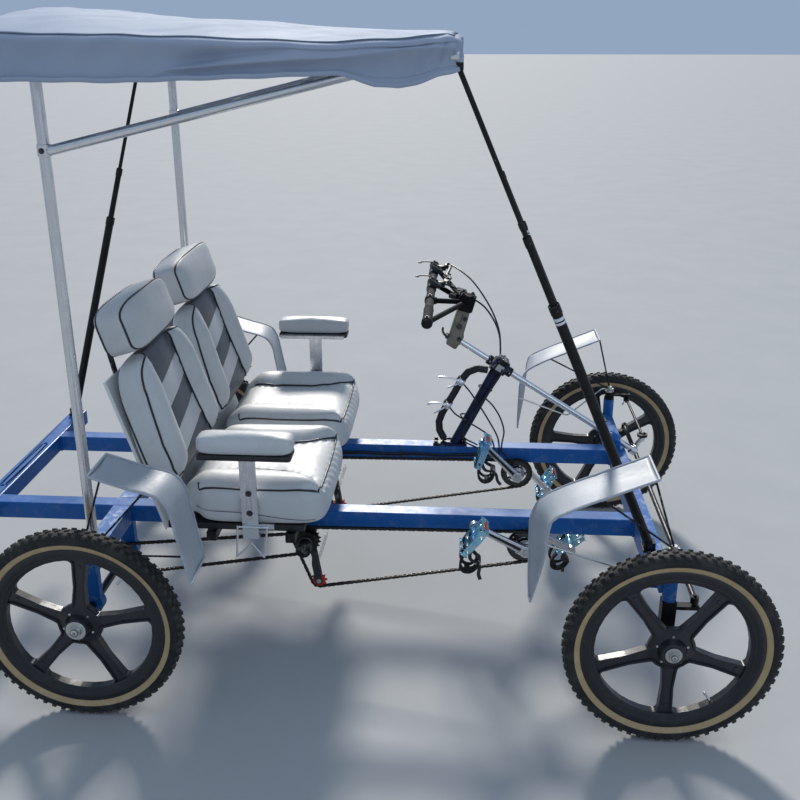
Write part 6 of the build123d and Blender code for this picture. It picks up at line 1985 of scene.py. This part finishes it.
def fender_grid(end, s):
    """Sheet held by its wire frame: two edge lines, filled across with a slight belly."""
    ax = FX if end == "front" else RX
    dr = -1 if end == "front" else 1
    yc = s * FEND_Y[end]
    if end == "front":
        inner = [(0.080, 0.7125, 1), (0.180, 0.669, 1), (0.272, 0.6275, 1), (0.318, 0.596, 1), (0.333, 0.560, 1), (0.336, 0.510, 0.86), (0.336, 0.470, 0.68), (0.336, 0.430, 0.50), (0.335, 0.395, 0.32), (0.334, 0.3725, 0.19)]
        outer = [(0.080, 0.7125, 1), (0.180, 0.669, 1), (0.262, 0.6320, 1), (0.300, 0.608, 1), (0.307, 0.570, 0.99), (0.310, 0.530, 0.90), (0.3135, 0.490, 0.72), (0.320, 0.445, 0.50), (0.327, 0.405, 0.32), (0.333, 0.3725, 0.19)]
    else:
        inner = [(0.090, 0.6805, 1), (0.170, 0.655, 1), (0.250, 0.6295, 1), (0.271, 0.600, 1), (0.2785, 0.560, 1), (0.285, 0.520, 1), (0.290, 0.490, 1), (0.296, 0.455, 1), (0.3015, 0.4145, 1)]
        outer = [(0.090, 0.6805, 1), (0.170, 0.655, 1), (0.246, 0.6300, 1), (0.264, 0.604, 1), (0.2735, 0.562, 1), (0.281, 0.520, 1), (0.287, 0.490, 1), (0.294, 0.455, 1), (0.3015, 0.4145, 1)]

    if end == "front" and s > 0:
        inner = [(a - 0.036, z - 0.070, w) for a, z, w in inner]
        outer = [(a - 0.036, z - 0.070, w) for a, z, w in outer]
    n = 44
    out = []
    for rows in (inner, outer):
        D = curve([np.array(r, float) for r in rows], 0.006)
        d = np.concatenate([[0], np.cumsum(np.linalg.norm(np.diff(D[:, :2], axis=0), axis=1))])
        t = np.linspace(0, d[-1], n)
        out.append(np.stack([np.interp(t, d, D[:, k]) for k in range(3)], 1))
    I, O = out
    cols = 15
    V = []
    hwid = 0.0625
    for i in range(n):
        row = []
        for j in range(cols):
            u = j / (cols - 1)
            a = I[i] * (1 - u) + O[i] * u
            yy = yc + s * (2 * u - 1) * hwid * a[2]
            belly = math.sin(math.pi * u) * (0.0035 + 0.0030 * math.sin(9.0 * i / n + 2.0 * u))
            # inward of the fold
            row.append((ax + dr * (a[0] - belly * (0.9 if i > n * 0.42 else 0.2)), yy, a[1] - belly * (0.2 if i > n * 0.42 else 0.9)))
        V.append(row)
    V = np.array(V)
    F = [(i * cols + j, i * cols + j + 1, (i + 1) * cols + j + 1, (i + 1) * cols + j) for i in range(n - 1) for j in range(cols - 1)]
    return V, F, cols, n


def hook_points(end, s):
    if end == "front":
        h = (FX, s * 0.540, 0.4745)
        return [h, h, h]
    return [(RX + d, s * 0.522, 0.3992) for d in (-0.012, 0.004, 0.018)]


for end in ("front", "rear"):
    for sidew, s in (("left", 1), ("right", -1)):
        body = ("%s_knuckle" % sidew) if end == "front" else "chassis"
        V, F, cols, n = fender_grid(end, s)
        M = Mesh()
        M.add((V.reshape(-1, 3), F), 0)
        nm = "%s_%s_fender_sheet" % (end, sidew)
        rep = ["front_%s_fender" % sidew] if end == "front" else (["rear_fenders"] if s > 0 else [])
        o = build(nm, M, [SHEET], body, sharp=180, replaces=rep)
        sol = o.modifiers.new("thick", "SOLIDIFY")
        sol.thickness = 0.0011
        sol.offset = 0
        L = float(sum(np.linalg.norm(V[i + 1, 7] - V[i, 7]) for i in range(n - 1)))
        AR = sum(0.5 * np.linalg.norm(np.cross(V[i + 1, j] - V[i, j], V[i, j + 1] - V[i, j])) + 0.5 * np.linalg.norm(np.cross(V[i, j + 1] - V[i + 1, j + 1], V[i + 1, j] - V[i + 1, j + 1])) for i in range(n - 1) for j in range(cols - 1))
        AR = float(AR)
        # wire frame with the sheet's hem folded over it along both edges and ends, and three bare stays, black but for
        # the front fenders' third one in zinc
        M = Mesh()
        r = 0.0029
        edges = [V[:, 0], V[:, -1]]
        for e in edges:
            off = np.array([0, 0, 0.0])
            M.add(tube([p for p in e[::2]] + [e[-1]], r, 8), 3)
        M.add(tube([V[0, 0], V[0, -1]], r, 8), 3)
        M.add(tube([V[-1, 0], V[-1, -1]], r, 8), 3)
        hk = hook_points(end, s)
        dr = -1 if end == "front" else 1
        ax = FX if end == "front" else RX
        for q, start in enumerate((V[0, 0], V[int(n * 0.36), 0], V[int(n * (0.74 if end == "front" else 0.999)) if end == "front" else n - 1, 0])):
            path = [start]
            if end == "front" and q == 2:
                path.append(np.array([FX - 0.134, s * 0.549, 0.428 if s < 0 else 0.372]))
                path.append(np.array([FX - 0.026, s * 0.542, 0.4745]))
            path.append(np.array(hk[q]))
            M.add(tube(bent(path, 0.02, 5) if len(path) > 2 else path, 0.0026, 8), 1 if (end == "front" and q == 2) else 0)
        # eye bent round the bolt, P-clips along the edges
        for q in range(3):
            c = np.array(hk[q])
            if end == "rear" or q == 0:
                M.add(tube([c + np.array([0.0068 * math.cos(a), 0.0068 * math.sin(a), 0]) for a in np.linspace(0, 2 * math.pi, 18, endpoint=False)], 0.0026, 7, closed=True, up=(0, 0, 1)), 0)
                if end == "rear":
                    M.add(hexhead(c + np.array([0, 0, 0.0020]), (0, 0, 1), 0.0052, 0.0042), 1)
        for e in edges:
            for i in range(3, n - 2, 8):
                d = unit(e[i + 1] - e[i])
                M.add(tube([e[i] - d * 0.005, e[i] + d * 0.005], 0.0034, 10), 3)
        build("%s_%s_fender_frame" % (end, sidew), M, [BLACK, ZINC, PLASTIC, HEM], body, sharp=40)
        if end == "front":
            M = Mesh()
            c = np.array([FX, s * 0.540, 0.4650])
            M.add(lathe([(0.0090, 0), (0.0090, 0.0078)], 28, c, (0, 0, 1)), 0)
            M.add(lathe([(0.0135, 0.0012), (0.0140, 0.0020), (0.0140, 0.0034), (0.0135, 0.0040)], 28, c, (0, 0, 1)), 0)
            M.add(hexhead(c + np.array([0, 0, 0.0110]), (0, 0, 1), 0.0085, 0.0068), 0)
            build("%s_kingpin_nut" % sidew, M, [ZINC], body, sharp=35)


# ------------------------------------------------------------------ small fittings on the frame
FRONT_BEAM_REAR, REAR_BEAM_FRONT = 0.742, -0.986
M = Mesh()
for s in (-1, 1):
    for a, f in ((np.array([0.24775 - s * 0.01025, s * 0.562, 1.5315]), np.array([0.745 - s * 0.006, s * 0.402, 0.410])),
                 (np.array([-0.729, s * 0.562, 1.5315]), np.array([-1.008, s * 0.402, 0.410]))):
        d = unit(f - a)
        out = unit(np.cross(d, (0, 1.0, 0)) * 0.2 + np.array([0, float(s), 0]))
        out = unit(out - d * float(out @ d))
        # clamp sleeves where the thinner tube slides into the next
        for t, r in ((0.305, 0.0085), (0.44, 0.0120)):
            c = a + (f - a) * t
            M.add(lathe([(r + 0.0001, -0.003), (r + 0.0010, -0.002), (r + 0.0013, 0.002), (r + 0.0013, 0.019), (r + 0.0008, 0.021), (r + 0.0001, 0.0215)], 26, c, d, caps=False), 0)
            M.add(hexhead(c + d * 0.010 + out * (r + 0.0015), out, 0.0026, 0.0022, washer=False), 1)
        # bolt through the foot
        M.add(hexhead(np.array([f[0], s * 0.4170, 0.4120]), (0, s, 0), 0.0050, 0.0034), 1)
        if f[0] > 0:
            for t0, w in ((0.4625, 0.0075), (0.4715, 0.0060)):
                c = a + (f - a) * t0
                M.add(lathe([(0.01205, 0), (0.0125, 0.0003), (0.0125, w), (0.01205, w + 0.0003)], 26, c, d, caps=False), 2)
    # split ring round the pole under the brace, with its bolt
    c = np.array([-0.618, s * 0.492, 1.3600])
    M.add(lathe([(0.0126, -0.013), (0.0150, -0.012), (0.0150, 0.012), (0.0126, 0.013)], 30, c, (0, 0, 1), caps=False), 3)
    M.add(hexhead(c + np.array([0, s * 0.0145, 0]), (0, s, 0), 0.0040, 0.0032), 1)
    c = np.array([-0.618, s * 0.492, 0.3963])
    M.add(lathe([(0.0126, 0.0), (0.0215, 0.0), (0.0220, 0.0006), (0.0220, 0.0035), (0.0150, 0.0045), (0.0135, 0.012), (0.0126, 0.0125)], 32, c, (0, 0, 1), caps=False), 3)
# long slot in each armrest strap, with the bolt that holds it to the seat rail
for s, xs in ((1, -0.197), (-1, -0.232)):
    q = [np.array([xs + 0.0062 * math.cos(a), s * 0.4583, 0.517 + 0.0062 * math.sin(a) + (0.037 if math.sin(a) >= 0 else -0.037)]) for a in np.linspace(0, 2 * math.pi, 40, endpoint=False)]
    M.add(tube(q, 0.0011, 8, closed=True), 3)
    M.add(oriented((0.0100, 0.0008, 0.082), (xs, s * 0.4583, 0.517), (0, 0, 1), (1, 0, 0), 0.0003, 1), 3)
    for z in (0.492, 0.545):
        M.add(hexhead(np.array([xs, s * 0.4584, z]), (0, s, 0), 0.0050, 0.0038), 1)
build("frame_clamps", M, [BLACK, DARKSTEEL, WHITE_TAPE, ALU], "chassis", sharp=35)

# weld seams where the long beams meet the end beams
M = Mesh()
for s in (-1, 1):
    for x, sx in ((FRONT_BEAM_REAR, -1), (REAR_BEAM_FRONT, 1)):
        q = [np.array([x + sx * 0.001, s * BEAM_Y + a, z]) for a, z in ((-0.0235, BEAM_BOT + 0.0005), (0.0235, BEAM_BOT + 0.0005), (0.0235, BEAM_TOP - 0.0005), (-0.0235, BEAM_TOP - 0.0005))]
        for i in range(4):
            M.add(weld_bead([q[i], q[(i + 1) % 4]], 0.0026, False, 11 + i), 0)
build("beam_welds", M, [BLUE], "chassis", sharp=60)


# ------------------------------------------------------------------ floor, light, camera
floor = bpy.data.meshes.new("floor")
floor.from_pydata([(-80, -80, 0), (80, -80, 0), (80, 80, 0), (-80, 80, 0)], [], [(0, 1, 2, 3)])
floor.materials.append(floor_mat())
floor_o = bpy.data.objects.new("floor", floor)
scene.collection.objects.link(floor_o)

world = bpy.data.worlds.new("studio")
scene.world = world
world.use_nodes = True
bg = world.node_tree.nodes["Background"]
bg.inputs["Color"].default_value = (0.56, 0.73, 1.0, 1)
bg.inputs["Strength"].default_value = 0.52


def area(name, loc, target, size, power, col=(1, 1, 1)):
    d = bpy.data.lights.new(name, "AREA")
    d.shape = "RECTANGLE"
    d.size, d.size_y = size
    d.energy = power
    d.color = col
    o = bpy.data.objects.new(name, d)
    scene.collection.objects.link(o)
    o.location = loc
    o.rotation_mode = "QUATERNION"
    o.rotation_quaternion = (Vector(target) - Vector(loc)).to_track_quat("-Z", "Y")
    return o


sun = bpy.data.lights.new("key", "SUN")
sun.energy = 3.3
sun.angle = math.radians(9)
sun.color = (1.0, 0.965, 0.90)
sun_o = bpy.data.objects.new("key", sun)
scene.collection.objects.link(sun_o)
sun_o.rotation_mode = "QUATERNION"
sun_o.rotation_quaternion = Vector((0.17, -1.55, -1.04)).to_track_quat("-Z", "Y")
area("fill", (2.6, -4.2, 3.2), (0, 0, 0.6), (3.5, 2.5), 21, (0.80, 0.90, 1.0))
area("top", (-0.6, -1.0, 4.6), (0, 0, 0.6), (4.0, 3.0), 13, (0.84, 0.92, 1.0))

cam = bpy.data.cameras.new("camera")
cam.sensor_width = 36.0
cam.lens = 43.545
cam.clip_end = 200
cam_o = bpy.data.objects.new("camera", cam)
scene.collection.objects.link(cam_o)
cam_o.location = (0.26986, -2.55076, 1.59314)
cam_o.rotation_euler = (math.radians(90 - 20.77), math.radians(0.0), math.radians(3.62))
scene.camera = cam_o
scene.view_settings.view_transform = "Standard"
scene.view_settings.look = "None"
scene.view_settings.exposure = 0.0
